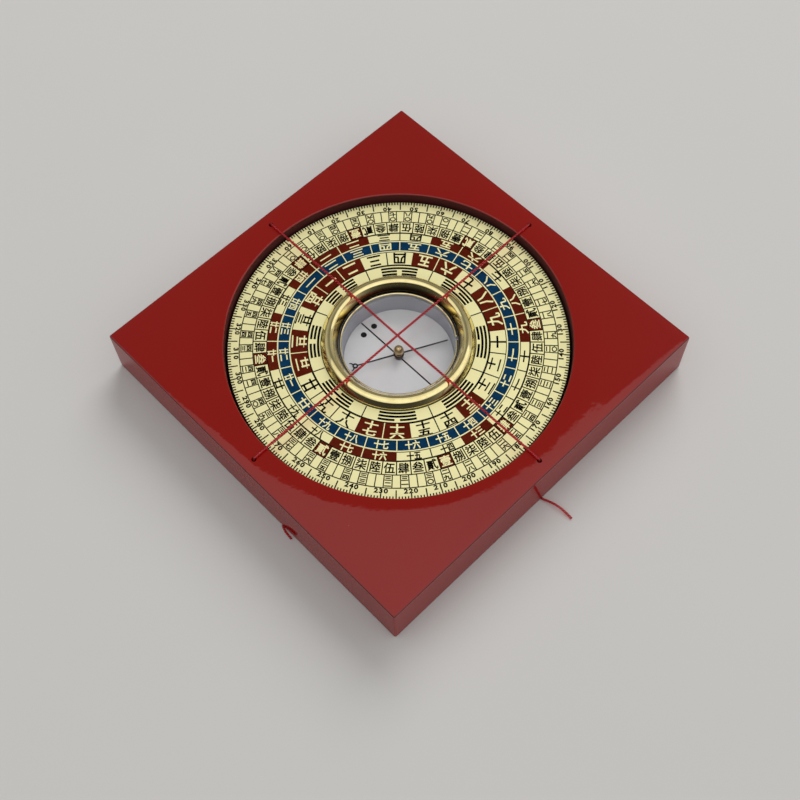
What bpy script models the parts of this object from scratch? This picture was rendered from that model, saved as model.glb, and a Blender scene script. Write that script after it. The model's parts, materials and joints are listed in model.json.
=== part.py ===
"""Feng shui compass (luopan): a lacquered block, a dial that turns in its well, a small needle
compass in the dial's centre, and two red threads drawn crosswise over the dial.

Metres, +Z up. The origin is the centre of the block's underside, which stands on z = 0. The
block's sides face X and Y, and the dial and the needle both turn about the Z axis.
"""
import math

import bmesh
import bpy
from mathutils import Vector

# Gaps between pieces
SEAT_GAP = 0.0003           # under a piece that rests on a broad face
FINE_GAP = 0.0001           # around glass, needle and other small pieces
CUT_OVERRUN = 0.0010        # how far a cutter reaches past the face that it opens

# Dial board and plate
DIAL_DIAMETER = 0.0839
BOARD_THICKNESS = 0.0077
BOARD_CHAMFER = 0.0004
PLATE_THICKNESS = 0.0005
PLATE_SKIRT_GAP = 0.0009    # from the bezel's skirt to the plate's inner edge
DIAL_SEGMENTS = 112

# Block
DIAL_SIDE_GAP = 0.00055     # round the dial, so that it turns in its well
LAND_WIDTH = 0.0075         # the block's narrowest land, from the well to a side
BASE_HEIGHT = 0.0145
BASE_CORNER_RADIUS = 0.0005
BASE_EDGE_RADIUS = 0.0004
WELL_FLOOR_THICKNESS = 0.0032
WELL_RIM_RADIUS = 0.0004
BASE_CORNER_SEGMENTS = 5
BASE_EDGE_SEGMENTS = 3
WELL_SEGMENTS = 128

# Threads, their holes, knots and grooves
THREAD_DIAMETER = 0.0006
THREAD_HOLE_CLEARANCE = 0.0003
THREAD_HOLE_INSET = 0.0034  # from the block's side to the middle of the hole
THREAD_GAP = 0.0002         # between the thread and what it is drawn over
THREAD_CROSSING_SHIFT = 0.00045
THREAD_TABLE_GAP = 0.0001   # under the thread where it runs below the block
GROOVE_CLEARANCE = 0.0003
KNOT_DIAMETER = 0.0018
KNOT_HEIGHT = 0.0015
KNOT_SIDE_GAP = 0.0005
HOLE_SEGMENTS = 20
THREAD_BEND_STEPS = 4

# Tails, as routes chosen by hand: along the block's side, out from that side, and height
NORTH_SOUTH_TAIL = [
    (-0.00090, -0.00100, 0.00040),
    (-0.00130, 0.00020, 0.00040),
    (-0.00084, 0.00173, 0.00060),
    (-0.00044, 0.00330, 0.00080),
    (-0.00014, 0.00508, 0.00080),
    (-0.00004, 0.00693, 0.00055),
    (-0.00009, 0.00863, 0.00035),
]
EAST_WEST_TAIL = [
    (-0.00500, -0.00210, 0.00040),
    (-0.00930, -0.00130, 0.00040),
    (-0.01100, -0.00065, 0.00040),
    (-0.01205, 0.00014, 0.00040),
    (-0.01330, 0.00060, 0.00045),
    (-0.01460, 0.00078, 0.00045),
    (-0.01575, 0.00085, 0.00040),
]
TAIL_STEP_COUNT = 3         # curve points between two of a tail's own points

# Compass pool: cup, glass, bezel and wire
POOL_DIAMETER = 0.0278
CUP_WALL = 0.0009
CUP_FLOOR = 0.0004
CUP_SET_BACK = 0.0001       # from the board's underside up to the cup's
CUP_HEIGHT = 0.0062
CUP_FLANGE_THICKNESS = 0.0006
GLASS_THICKNESS = 0.0011
GLASS_LEDGE = 0.0007        # how far the glass lies on the cup's wall
GLASS_CHAMFER = 0.00015
GLASS_SIDE_GAP = 0.00015
BEZEL_SKIRT_WALL = 0.00085
BEZEL_WIDTH = 0.00415
BEZEL_RISE = 0.0024         # from the plate's face to the bezel's crest
BEZEL_ARC_STEPS = 12
WIRE_DIAMETER = 0.00055
WIRE_SIDE_GAP = 0.00015
WIRE_SPLIT_LENGTH = 0.0009
WIRE_SPLIT_ANGLE = math.radians(-39.6)
WIRE_POINTS = 72
POOL_SEGMENTS = 96

# Floor card and pivot pin
CARD_THICKNESS = 0.0002
CARD_SIDE_GAP = 0.00015
PIN_FOOT_DIAMETER = 0.0020
PIN_FOOT_THICKNESS = 0.0005
PIN_DIAMETER = 0.0005
PIN_TIP_DIAMETER = 0.0001
PIN_TAPER_LENGTH = 0.0030
SMALL_SEGMENTS = 32

# Needle and its cap
NEEDLE_ANGLE = math.radians(-26.9)
NEEDLE_WALL_GAP = 0.0010    # from the needle's point to the pool's wall
NEEDLE_THICKNESS = 0.00025
NEEDLE_TIP_WIDTH = 0.00030
NEEDLE_HUB_WIDTH = 0.00042
NEEDLE_POINT_LENGTH = 0.0003
NEEDLE_SETBACK = 0.0001     # from the cap's lower end up to the needle
HUB_RING_WIDTH = 0.00045
EYE_SETBACK = 0.0016        # how much nearer the hub the eye is than the point
EYE_HOLE_DIAMETER = 0.0007
EYE_RING_WIDTH = 0.00035
HORN_LENGTH = 0.0010
HORN_ROOT_ANGLE = math.radians(48)
HORN_LEAN_ANGLE = math.radians(38)
HORN_HALF_WIDTH_ANGLE = math.radians(13)
CAP_HEADROOM = 0.0009       # from the cap's top to the glass
CAP_HEIGHT = 0.0036
CAP_ROOF_THICKNESS = 0.0004
CAP_NECK_LENGTH = 0.0016
CAP_NECK_WALL = 0.00025
CAP_BRIM_WIDTH = 0.0005
PIN_SIDE_GAP = 0.0003       # from the pin's shank to the mouth of the cap's cavity
PIN_TIP_SIDE_GAP = 0.0001
BEARING_GAP = 0.0002        # between the pin's point and the roof of the cap's cavity
OUTLINE_STEPS = 12

# Sizes that follow from those above
WELL_DIAMETER = DIAL_DIAMETER + 2 * DIAL_SIDE_GAP
BASE_SIDE = WELL_DIAMETER + 2 * LAND_WIDTH
THREAD_HOLE_REACH = BASE_SIDE / 2 - THREAD_HOLE_INSET
THREAD_HOLE_DIAMETER = THREAD_DIAMETER + 2 * THREAD_HOLE_CLEARANCE
GROOVE_DIAMETER = THREAD_DIAMETER + 2 * GROOVE_CLEARANCE
KNOT_POCKET_DIAMETER = KNOT_DIAMETER + 2 * KNOT_SIDE_GAP
KNOT_POCKET_DEPTH = THREAD_TABLE_GAP + KNOT_HEIGHT + SEAT_GAP
GLASS_DIAMETER = POOL_DIAMETER + 2 * GLASS_LEDGE
BEZEL_BORE_DIAMETER = GLASS_DIAMETER + 2 * GLASS_SIDE_GAP
BEZEL_DIAMETER = BEZEL_BORE_DIAMETER + 2 * BEZEL_WIDTH
BEZEL_SKIRT_DIAMETER = BEZEL_BORE_DIAMETER + 2 * BEZEL_SKIRT_WALL
BEZEL_CREST_REACH = (BEZEL_BORE_DIAMETER + BEZEL_DIAMETER) / 4
PLATE_BORE_DIAMETER = BEZEL_SKIRT_DIAMETER + 2 * PLATE_SKIRT_GAP
WIRE_RING_DIAMETER = BEZEL_BORE_DIAMETER - WIRE_DIAMETER - 2 * WIRE_SIDE_GAP
NEEDLE_TIP_REACH = POOL_DIAMETER / 2 - NEEDLE_WALL_GAP
EYE_REACH = NEEDLE_TIP_REACH - EYE_SETBACK
EYE_DIAMETER = EYE_HOLE_DIAMETER + 2 * EYE_RING_WIDTH
CAP_CAVITY_DIAMETER = PIN_DIAMETER + 2 * PIN_SIDE_GAP
CAP_CAVITY_TOP_DIAMETER = PIN_TIP_DIAMETER + 2 * PIN_TIP_SIDE_GAP
CAP_NECK_DIAMETER = CAP_CAVITY_DIAMETER + 2 * CAP_NECK_WALL
CAP_DIAMETER = CAP_NECK_DIAMETER + 2 * CAP_BRIM_WIDTH
HUB_HOLE_DIAMETER = CAP_NECK_DIAMETER + 2 * FINE_GAP
HUB_DIAMETER = HUB_HOLE_DIAMETER + 2 * HUB_RING_WIDTH

# Heights above the table, from the ground up
BOARD_BOTTOM = WELL_FLOOR_THICKNESS + SEAT_GAP
PLATE_BOTTOM = BOARD_BOTTOM + BOARD_THICKNESS + SEAT_GAP
PLATE_TOP = PLATE_BOTTOM + PLATE_THICKNESS
CUP_BOTTOM = BOARD_BOTTOM + CUP_SET_BACK
CUP_TOP = CUP_BOTTOM + CUP_HEIGHT
GLASS_BOTTOM = CUP_TOP + FINE_GAP
GLASS_TOP = GLASS_BOTTOM + GLASS_THICKNESS
WIRE_HEIGHT = GLASS_TOP + FINE_GAP + WIRE_DIAMETER / 2
BEZEL_BOTTOM = CUP_TOP + FINE_GAP
BEZEL_CREST = PLATE_TOP + BEZEL_RISE
CARD_BOTTOM = CUP_BOTTOM + CUP_FLOOR + FINE_GAP
PIN_BOTTOM = CARD_BOTTOM
CAP_BOTTOM = GLASS_BOTTOM - CAP_HEADROOM - CAP_HEIGHT
PIN_POINT = CAP_BOTTOM + CAP_HEIGHT - CAP_ROOF_THICKNESS - BEARING_GAP
PIN_HEIGHT = PIN_POINT - PIN_BOTTOM
NEEDLE_BOTTOM = CAP_BOTTOM + NEEDLE_SETBACK
THREAD_HEIGHT = BASE_HEIGHT + THREAD_GAP + THREAD_DIAMETER / 2
THREAD_CREST_HEIGHT = max(THREAD_HEIGHT, BEZEL_CREST + THREAD_GAP + THREAD_DIAMETER / 2)
THREAD_UNDER_HEIGHT = THREAD_TABLE_GAP + THREAD_DIAMETER / 2

AXIS_Z = Vector((0, 0, 1))


def clear_scene():
    for item in list(bpy.data.objects):
        bpy.data.objects.remove(item, do_unlink=True)


def new_collection(name):
    collection = bpy.data.collections.new(name)
    bpy.context.scene.collection.children.link(collection)
    return collection


def make_material(name, colour, roughness, metallic=0.0, transmission=0.0):
    """One Principled BSDF material for one sub-part."""
    material = bpy.data.materials.new(name)
    material.use_nodes = True
    shader = material.node_tree.nodes["Principled BSDF"]
    shader.inputs["Base Color"].default_value = (*colour, 1.0)
    shader.inputs["Roughness"].default_value = roughness
    shader.inputs["Metallic"].default_value = metallic
    shader.inputs["Transmission Weight"].default_value = transmission
    material.diffuse_color = (*colour, 1.0)
    return material


def add_object(name, data, collection, material=None, parent=None):
    item = bpy.data.objects.new(name, data)
    collection.objects.link(item)
    if material:
        item.data.materials.append(material)
    if parent:
        item.parent = parent
    return item


def add_axis(name, height, collection, parent=None):
    """An empty on the Z axis that stands for a joint."""
    axis = bpy.data.objects.new(name, None)
    axis.empty_display_type = "SINGLE_ARROW"
    axis.empty_display_size = BASE_HEIGHT
    axis.location = AXIS_Z * height
    collection.objects.link(axis)
    axis.parent = parent
    return axis


def finished_mesh(item, name):
    """The object's evaluated shape as a plain closed mesh, smooth but for its sharp edges."""
    depsgraph = bpy.context.evaluated_depsgraph_get()
    mesh = bpy.data.meshes.new_from_object(item.evaluated_get(depsgraph))
    mesh.name = name
    shape = bmesh.new()
    shape.from_mesh(mesh)
    bmesh.ops.remove_doubles(shape, verts=shape.verts, dist=FINE_GAP / 100)
    shape.to_mesh(mesh)
    shape.free()
    mesh.shade_smooth()
    mesh.set_sharp_from_angle(angle=math.radians(35))
    return mesh


def arc(centre_x, centre_z, radius, start, end, steps):
    """Points on an arc about (centre_x, centre_z), from angle start to angle end."""
    angles = [start + (end - start) * step / steps for step in range(steps + 1)]
    return [(centre_x + radius * math.cos(a), centre_z + radius * math.sin(a)) for a in angles]


def turned(name, profile, steps, collection, material=None, parent=None, closed=True):
    """A profile of (radius, height) turned about Z. A closed profile makes a ring, an open one
    starts and ends on the axis."""
    count = len(profile)
    edges = [(k, k + 1) for k in range(count - 1)]
    if closed:
        edges.append((count - 1, 0))
    mesh = bpy.data.meshes.new(name)
    mesh.from_pydata([(radius, 0, height) for radius, height in profile], edges, [])
    item = add_object(name, mesh, collection, material, parent)
    screw = item.modifiers.new("turn", "SCREW")
    screw.axis = "Z"
    screw.steps = steps
    screw.render_steps = steps
    screw.use_merge_vertices = True
    screw.merge_threshold = FINE_GAP / 100
    screw.use_smooth_shade = True
    return item


def tube(name, points, diameter, collection, material=None, parent=None, radii=None):
    """A round tube along points, with filled caps. radii holds each point's share of the radius."""
    curve = bpy.data.curves.new(name, "CURVE")
    curve.dimensions = "3D"
    curve.bevel_depth = diameter / 2
    curve.bevel_resolution = 2
    curve.use_fill_caps = True
    curve.twist_mode = "MINIMUM"
    spline = curve.splines.new("POLY")
    spline.points.add(len(points) - 1)
    for index, (point, place) in enumerate(zip(spline.points, points)):
        point.co = (*place, 1)
        point.radius = radii[index] if radii else 1
    return add_object(name, curve, collection, material, parent)


def as_mesh_object(item, collection):
    """Replaces a curve by a mesh object of the same shape, name and place."""
    name = item.name
    mesh = finished_mesh(item, name)
    place = item.matrix_world.copy()
    bpy.data.objects.remove(item, do_unlink=True)
    solid = add_object(name, mesh, collection)
    solid.matrix_world = place
    return solid


def as_cutter(item):
    item.hide_render = True
    item.display_type = "WIRE"
    return item


def cylinder_cutter(name, diameter, bottom, top, place, collection):
    mesh = bpy.data.meshes.new(name)
    shape = bmesh.new()
    bmesh.ops.create_cone(shape, cap_ends=True, segments=HOLE_SEGMENTS,
                          radius1=diameter / 2, radius2=diameter / 2, depth=top - bottom)
    shape.to_mesh(mesh)
    shape.free()
    item = add_object(name, mesh, collection)
    item.location = (place[0], place[1], (top + bottom) / 2)
    return as_cutter(item)


def cut(item, cutter):
    boolean = item.modifiers.new(cutter.name, "BOOLEAN")
    boolean.operation = "DIFFERENCE"
    boolean.solver = "EXACT"
    boolean.object = cutter


def smooth_through(points, steps):
    """A Catmull-Rom curve through points, with steps stretches between each two of them."""
    route = [Vector(point) for point in points]
    padded = [route[0] * 2 - route[1], *route, route[-1] * 2 - route[-2]]
    curve = []
    for before, start, end, after in zip(padded, padded[1:], padded[2:], padded[3:]):
        for step in range(steps):
            t = step / steps
            curve.append(0.5 * (2 * start + (end - before) * t
                                + (2 * before - 5 * start + 4 * end - after) * t ** 2
                                + (3 * start - before - 3 * end + after) * t ** 3))
    curve.append(route[-1])
    return curve


def bend(corner, start, end, radius, steps):
    """A quarter bend about corner, from the unit direction start to the unit direction end."""
    turns = [math.pi / 2 * step / steps for step in range(steps + 1)]
    return [corner + radius * (start * math.cos(t) + end * math.sin(t)) for t in turns]


def thread_route(along, across, crossing_shift, tail):
    """A thread's centre line: knot, up its hole, over the dial, down the far hole and out.

    along is the unit direction from the knot's hole to the far hole, and across the one that
    the tail's places along the side are measured in. The line bends about the rim of each hole
    at one thread gap from it. crossing_shift lifts or lowers it at the centre.
    """
    tail_places = [across * sideways + along * (BASE_SIDE / 2 + outward) + AXIS_Z * height
                   for sideways, outward, height in tail]
    rim_radius = THREAD_HEIGHT - BASE_HEIGHT
    near_hole = -along * THREAD_HOLE_REACH
    far_hole = along * THREAD_HOLE_REACH
    rim_step = along * rim_radius

    knot_bottom = THREAD_TABLE_GAP
    shares = [(0.0, 0.5), (0.10, 0.85), (0.30, 1.0), (0.60, 1.0), (0.85, 0.75), (1.0, 0.4)]
    knot_points = [near_hole + AXIS_Z * (knot_bottom + KNOT_HEIGHT * share) for share, _ in shares]
    knot_radii = [radius_share * KNOT_DIAMETER / THREAD_DIAMETER for _, radius_share in shares]

    rise = [near_hole + AXIS_Z * height for height in (KNOT_POCKET_DEPTH, BASE_HEIGHT / 2)]
    near_bend = bend(near_hole + rim_step + AXIS_Z * BASE_HEIGHT, -along, AXIS_Z, rim_radius,
                     THREAD_BEND_STEPS)
    land = along * WELL_DIAMETER / 2
    crest = along * BEZEL_CREST_REACH
    land_level = AXIS_Z * THREAD_HEIGHT
    crest_level = AXIS_Z * THREAD_CREST_HEIGHT
    middle = AXIS_Z * (THREAD_CREST_HEIGHT + crossing_shift)
    span = [-land + land_level, -crest + crest_level]
    span += [-along * THREAD_DIAMETER + middle, along * THREAD_DIAMETER + middle]
    span += [crest + crest_level, land + land_level]
    far_bend = bend(far_hole - rim_step + AXIS_Z * BASE_HEIGHT, AXIS_Z, along, rim_radius,
                    THREAD_BEND_STEPS)

    away = tail_places[0] - far_hole
    away.z = 0
    away.normalize()
    under_radius = GROOVE_DIAMETER / 2
    ceiling = AXIS_Z * (THREAD_UNDER_HEIGHT + under_radius)
    under_bend = bend(far_hole + away * under_radius + ceiling, -away, -AXIS_Z, under_radius,
                      THREAD_BEND_STEPS)
    drop = [far_hole + AXIS_Z * BASE_HEIGHT / 2]
    tail_line = smooth_through([under_bend[-1], *tail_places], TAIL_STEP_COUNT)[1:]

    points = knot_points + rise + near_bend + span + far_bend + drop + under_bend + tail_line
    radii = knot_radii + [1.0] * (len(points) - len(knot_points))
    return points, radii, [far_hole + AXIS_Z * THREAD_UNDER_HEIGHT, *under_bend[-1:], *tail_line]


def groove_cutter(name, tail_line, collection):
    """A round channel under the block along a thread's way out, open at the side."""
    side = BASE_SIDE / 2 + CUT_OVERRUN
    inside = [p for p in tail_line if abs(p.x) < side and abs(p.y) < side]
    item = tube(name, inside, GROOVE_DIAMETER, collection)
    return as_cutter(as_mesh_object(item, collection))


def make_base_block(collection, cutters, material, tail_lines):
    """The block: a bevelled box with the dial's well, thread holes, knot pockets and grooves."""
    mesh = bpy.data.meshes.new("base_block")
    shape = bmesh.new()
    bmesh.ops.create_cube(shape, size=1)
    bmesh.ops.scale(shape, vec=(BASE_SIDE, BASE_SIDE, BASE_HEIGHT), verts=shape.verts)
    uprights = [e for e in shape.edges if abs(e.verts[0].co.z - e.verts[1].co.z) > BASE_HEIGHT / 2]
    bmesh.ops.bevel(shape, geom=uprights, offset=BASE_CORNER_RADIUS, offset_type="OFFSET",
                    segments=BASE_CORNER_SEGMENTS, profile=0.5, affect="EDGES")
    level = [e for e in shape.edges if abs(e.verts[0].co.z - e.verts[1].co.z) < BASE_HEIGHT / 2]
    bmesh.ops.bevel(shape, geom=level, offset=BASE_EDGE_RADIUS, offset_type="OFFSET",
                    segments=BASE_EDGE_SEGMENTS, profile=0.5, affect="EDGES")
    shape.to_mesh(mesh)
    shape.free()
    mesh.shade_smooth()
    mesh.set_sharp_from_angle(angle=math.radians(35))
    block = add_object("base_block", mesh, collection, material)
    block.location = AXIS_Z * BASE_HEIGHT / 2

    well_radius = WELL_DIAMETER / 2
    above = BASE_HEIGHT + CUT_OVERRUN
    rim = arc(well_radius + WELL_RIM_RADIUS, BASE_HEIGHT - WELL_RIM_RADIUS, WELL_RIM_RADIUS,
              math.pi / 2, math.pi, BASE_EDGE_SEGMENTS)
    profile = [(0, above), (rim[0][0], above), *rim]
    profile += [(well_radius, WELL_FLOOR_THICKNESS), (0, WELL_FLOOR_THICKNESS)]
    cut(block, as_cutter(turned("well_cutter", profile, WELL_SEGMENTS, cutters, closed=False)))

    below = -CUT_OVERRUN
    for side, place in (("north", (0, 1)), ("south", (0, -1)), ("east", (1, 0)), ("west", (-1, 0))):
        spot = Vector(place) * THREAD_HOLE_REACH
        cut(block, cylinder_cutter(f"{side}_thread_hole_cutter", THREAD_HOLE_DIAMETER, below, above,
                                   spot, cutters))
        if side in ("north", "east"):
            cut(block, cylinder_cutter(f"{side}_knot_pocket_cutter", KNOT_POCKET_DIAMETER, below,
                                       KNOT_POCKET_DEPTH, spot, cutters))
    for side, tail_line in zip(("south", "west"), tail_lines):
        cut(block, groove_cutter(f"{side}_groove_cutter", tail_line, cutters))
    return block


def make_dial_board(collection, material, axis):
    """The board: a chamfered disc, bored in two steps for the cup and for the bezel's skirt."""
    outer = DIAL_DIAMETER / 2
    top = BOARD_THICKNESS
    lower_bore = POOL_DIAMETER / 2 + CUP_WALL + SEAT_GAP
    upper_bore = BEZEL_SKIRT_DIAMETER / 2 + SEAT_GAP
    step = CUP_TOP - CUP_FLANGE_THICKNESS - SEAT_GAP - BOARD_BOTTOM
    profile = [
        (upper_bore, top), (outer - BOARD_CHAMFER, top), (outer, top - BOARD_CHAMFER),
        (outer, BOARD_CHAMFER), (outer - BOARD_CHAMFER, 0), (lower_bore, 0),
        (lower_bore, step), (upper_bore, step),
    ]
    board = turned("dial_board", profile, DIAL_SEGMENTS, collection, material, axis)
    board.location = AXIS_Z * (BOARD_BOTTOM - axis.location.z)
    return board


def make_dial_plate(collection, material, axis):
    """The printed plate: a thin flat ring on the board, its inner edge under the bezel."""
    outer = DIAL_DIAMETER / 2
    inner = PLATE_BORE_DIAMETER / 2
    profile = [(inner, PLATE_THICKNESS), (outer, PLATE_THICKNESS), (outer, 0), (inner, 0)]
    plate = turned("dial_plate", profile, DIAL_SEGMENTS, collection, material, axis)
    plate.location = AXIS_Z * (PLATE_BOTTOM - axis.location.z)
    return plate


def make_bezel_ring(collection, material, axis):
    """The bezel: a half-round crown over the plate's inner edge and a skirt down to the cup."""
    bore = BEZEL_BORE_DIAMETER / 2
    skirt = BEZEL_SKIRT_DIAMETER / 2
    foot = PLATE_TOP + FINE_GAP - BEZEL_BOTTOM
    half_width = BEZEL_WIDTH / 2
    rise = BEZEL_CREST - BEZEL_BOTTOM - foot
    crown = [(BEZEL_CREST_REACH + half_width * x, foot + rise * z)
             for x, z in arc(0, 0, 1, math.pi, 0, BEZEL_ARC_STEPS)]
    profile = [*crown, (skirt, foot), (skirt, 0), (bore, 0)]
    bezel = turned("bezel_ring", profile, POOL_SEGMENTS, collection, material, axis)
    bezel.location = AXIS_Z * (BEZEL_BOTTOM - axis.location.z)
    return bezel


def make_pool_cup(collection, material, axis):
    """The cup: a flat floor, an upright wall and a flange that hangs on the board's step."""
    inner = POOL_DIAMETER / 2
    outer = inner + CUP_WALL
    flange = BEZEL_SKIRT_DIAMETER / 2
    under_flange = CUP_HEIGHT - CUP_FLANGE_THICKNESS
    profile = [
        (0, CUP_FLOOR), (inner, CUP_FLOOR), (inner, CUP_HEIGHT), (flange, CUP_HEIGHT),
        (flange, under_flange), (outer, under_flange), (outer, 0), (0, 0),
    ]
    cup = turned("pool_cup", profile, POOL_SEGMENTS, collection, material, axis, closed=False)
    cup.location = AXIS_Z * (CUP_BOTTOM - axis.location.z)
    return cup


def make_floor_card(collection, material, axis):
    """The printed card on the pool's floor, with a hole for the pin's foot."""
    outer = POOL_DIAMETER / 2 - CARD_SIDE_GAP
    inner = PIN_FOOT_DIAMETER / 2 + FINE_GAP
    profile = [(inner, CARD_THICKNESS), (outer, CARD_THICKNESS), (outer, 0), (inner, 0)]
    card = turned("floor_card", profile, POOL_SEGMENTS // 2, collection, material, axis)
    card.location = AXIS_Z * (CARD_BOTTOM - axis.location.z)
    return card


def make_cover_glass(collection, material, axis):
    """The glass: a flat disc with ground edges, on top of the cup."""
    outer = GLASS_DIAMETER / 2
    profile = [
        (0, GLASS_THICKNESS), (outer - GLASS_CHAMFER, GLASS_THICKNESS),
        (outer, GLASS_THICKNESS - GLASS_CHAMFER), (outer, GLASS_CHAMFER),
        (outer - GLASS_CHAMFER, 0), (0, 0),
    ]
    glass = turned("cover_glass", profile, POOL_SEGMENTS, collection, material, axis, closed=False)
    glass.location = AXIS_Z * (GLASS_BOTTOM - axis.location.z)
    return glass


def make_retaining_wire(collection, material, axis):
    """The wire: nearly a full ring on the glass, its two ends a short way apart."""
    radius = WIRE_RING_DIAMETER / 2
    split = WIRE_SPLIT_LENGTH / radius
    start = WIRE_SPLIT_ANGLE + split / 2
    turn = 2 * math.pi - split
    points = [(x, y, 0) for x, y in arc(0, 0, radius, start, start + turn, WIRE_POINTS)]
    wire = tube("retaining_wire", points, WIRE_DIAMETER, collection, material, axis)
    wire.location = AXIS_Z * (WIRE_HEIGHT - axis.location.z)
    return wire


def make_pivot_pin(collection, material, axis):
    """The pin: a round foot on the cup's floor and a shank that tapers to the point."""
    foot = PIN_FOOT_DIAMETER / 2
    shank = PIN_DIAMETER / 2
    tip = PIN_TIP_DIAMETER / 2
    profile = [
        (0, PIN_HEIGHT), (tip, PIN_HEIGHT - tip), (shank, PIN_HEIGHT - PIN_TAPER_LENGTH),
        (shank, PIN_FOOT_THICKNESS), (foot - shank, PIN_FOOT_THICKNESS),
        (foot, PIN_FOOT_THICKNESS / 2), (foot, 0), (0, 0),
    ]
    pin = turned("pivot_pin", profile, SMALL_SEGMENTS, collection, material, axis, closed=False)
    pin.location = AXIS_Z * (PIN_BOTTOM - axis.location.z)
    return pin


def needle_outline():
    """Half of the needle's outline, from its point at +X to the far side of its tail's eye.

    It runs along a slim blade, round the hub, along the tail and round the eye, with one horn.
    """
    tip_half = NEEDLE_TIP_WIDTH / 2
    hub_half = NEEDLE_HUB_WIDTH / 2
    hub = HUB_DIAMETER / 2
    eye = EYE_DIAMETER / 2
    hub_angle = math.asin(hub_half / hub)
    eye_angle = math.asin(tip_half / eye)
    horn_start = math.pi - HORN_ROOT_ANGLE - HORN_HALF_WIDTH_ANGLE
    horn_end = math.pi - HORN_ROOT_ANGLE + HORN_HALF_WIDTH_ANGLE
    horn_root = (eye * math.cos(math.pi - HORN_ROOT_ANGLE), eye * math.sin(HORN_ROOT_ANGLE))
    horn_tip = (horn_root[0] - HORN_LENGTH * math.cos(HORN_LEAN_ANGLE),
                horn_root[1] + HORN_LENGTH * math.sin(HORN_LEAN_ANGLE))

    outline = [(NEEDLE_TIP_REACH, 0), (NEEDLE_TIP_REACH - NEEDLE_POINT_LENGTH, tip_half)]
    outline += arc(0, 0, hub, hub_angle, math.pi - hub_angle, OUTLINE_STEPS)
    outline += arc(-EYE_REACH, 0, eye, eye_angle, horn_start, OUTLINE_STEPS)
    outline.append((horn_tip[0] - EYE_REACH, horn_tip[1]))
    outline += arc(-EYE_REACH, 0, eye, horn_end, math.pi, OUTLINE_STEPS // 3)
    return outline


def make_needle(collection, material, axis):
    """The needle: a flat outline with a hub ring for its cap and an eye in its tail."""
    half = needle_outline()
    mirrored = [(x, -y) for x, y in half[1:-1]]
    hub_hole = HUB_HOLE_DIAMETER / 2
    loops = [
        half + mirrored[::-1],
        arc(0, 0, hub_hole, 0, 2 * math.pi, 2 * OUTLINE_STEPS)[:-1],
        arc(-EYE_REACH, 0, EYE_HOLE_DIAMETER / 2, 0, 2 * math.pi, OUTLINE_STEPS)[:-1],
    ]
    curve = bpy.data.curves.new("needle", "CURVE")
    curve.dimensions = "2D"
    curve.fill_mode = "BOTH"
    curve.extrude = NEEDLE_THICKNESS / 2
    for loop in loops:
        spline = curve.splines.new("POLY")
        spline.points.add(len(loop) - 1)
        for point, (x, y) in zip(spline.points, loop):
            point.co = (x, y, 0, 1)
        spline.use_cyclic_u = True
    flat = add_object("needle", curve, collection)
    needle = as_mesh_object(flat, collection)
    needle.data.materials.append(material)
    needle.parent = axis
    needle.location = AXIS_Z * (NEEDLE_BOTTOM + NEEDLE_THICKNESS / 2 - PIN_POINT)
    return needle


def make_needle_cap(collection, material, axis):
    """The cap: a dome on a neck through the needle's hub, hollow below for the pin."""
    dome = CAP_DIAMETER / 2
    neck = CAP_NECK_DIAMETER / 2
    shoulder = CAP_NECK_LENGTH + FINE_GAP
    dome_height = CAP_HEIGHT - shoulder
    cavity_top = CAP_HEIGHT - CAP_ROOF_THICKNESS
    crown = [(dome * x, shoulder + dome_height * z)
             for x, z in arc(0, 0, 1, math.pi / 2, 0, OUTLINE_STEPS // 2)]
    profile = [
        (0, CAP_HEIGHT), *crown[1:], (neck, shoulder), (neck, 0), (CAP_CAVITY_DIAMETER / 2, 0),
        (CAP_CAVITY_TOP_DIAMETER / 2, cavity_top), (0, cavity_top),
    ]
    cap = turned("needle_cap", profile, SMALL_SEGMENTS, collection, material, axis, closed=False)
    cap.location = AXIS_Z * (CAP_BOTTOM - PIN_POINT)
    return cap


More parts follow.
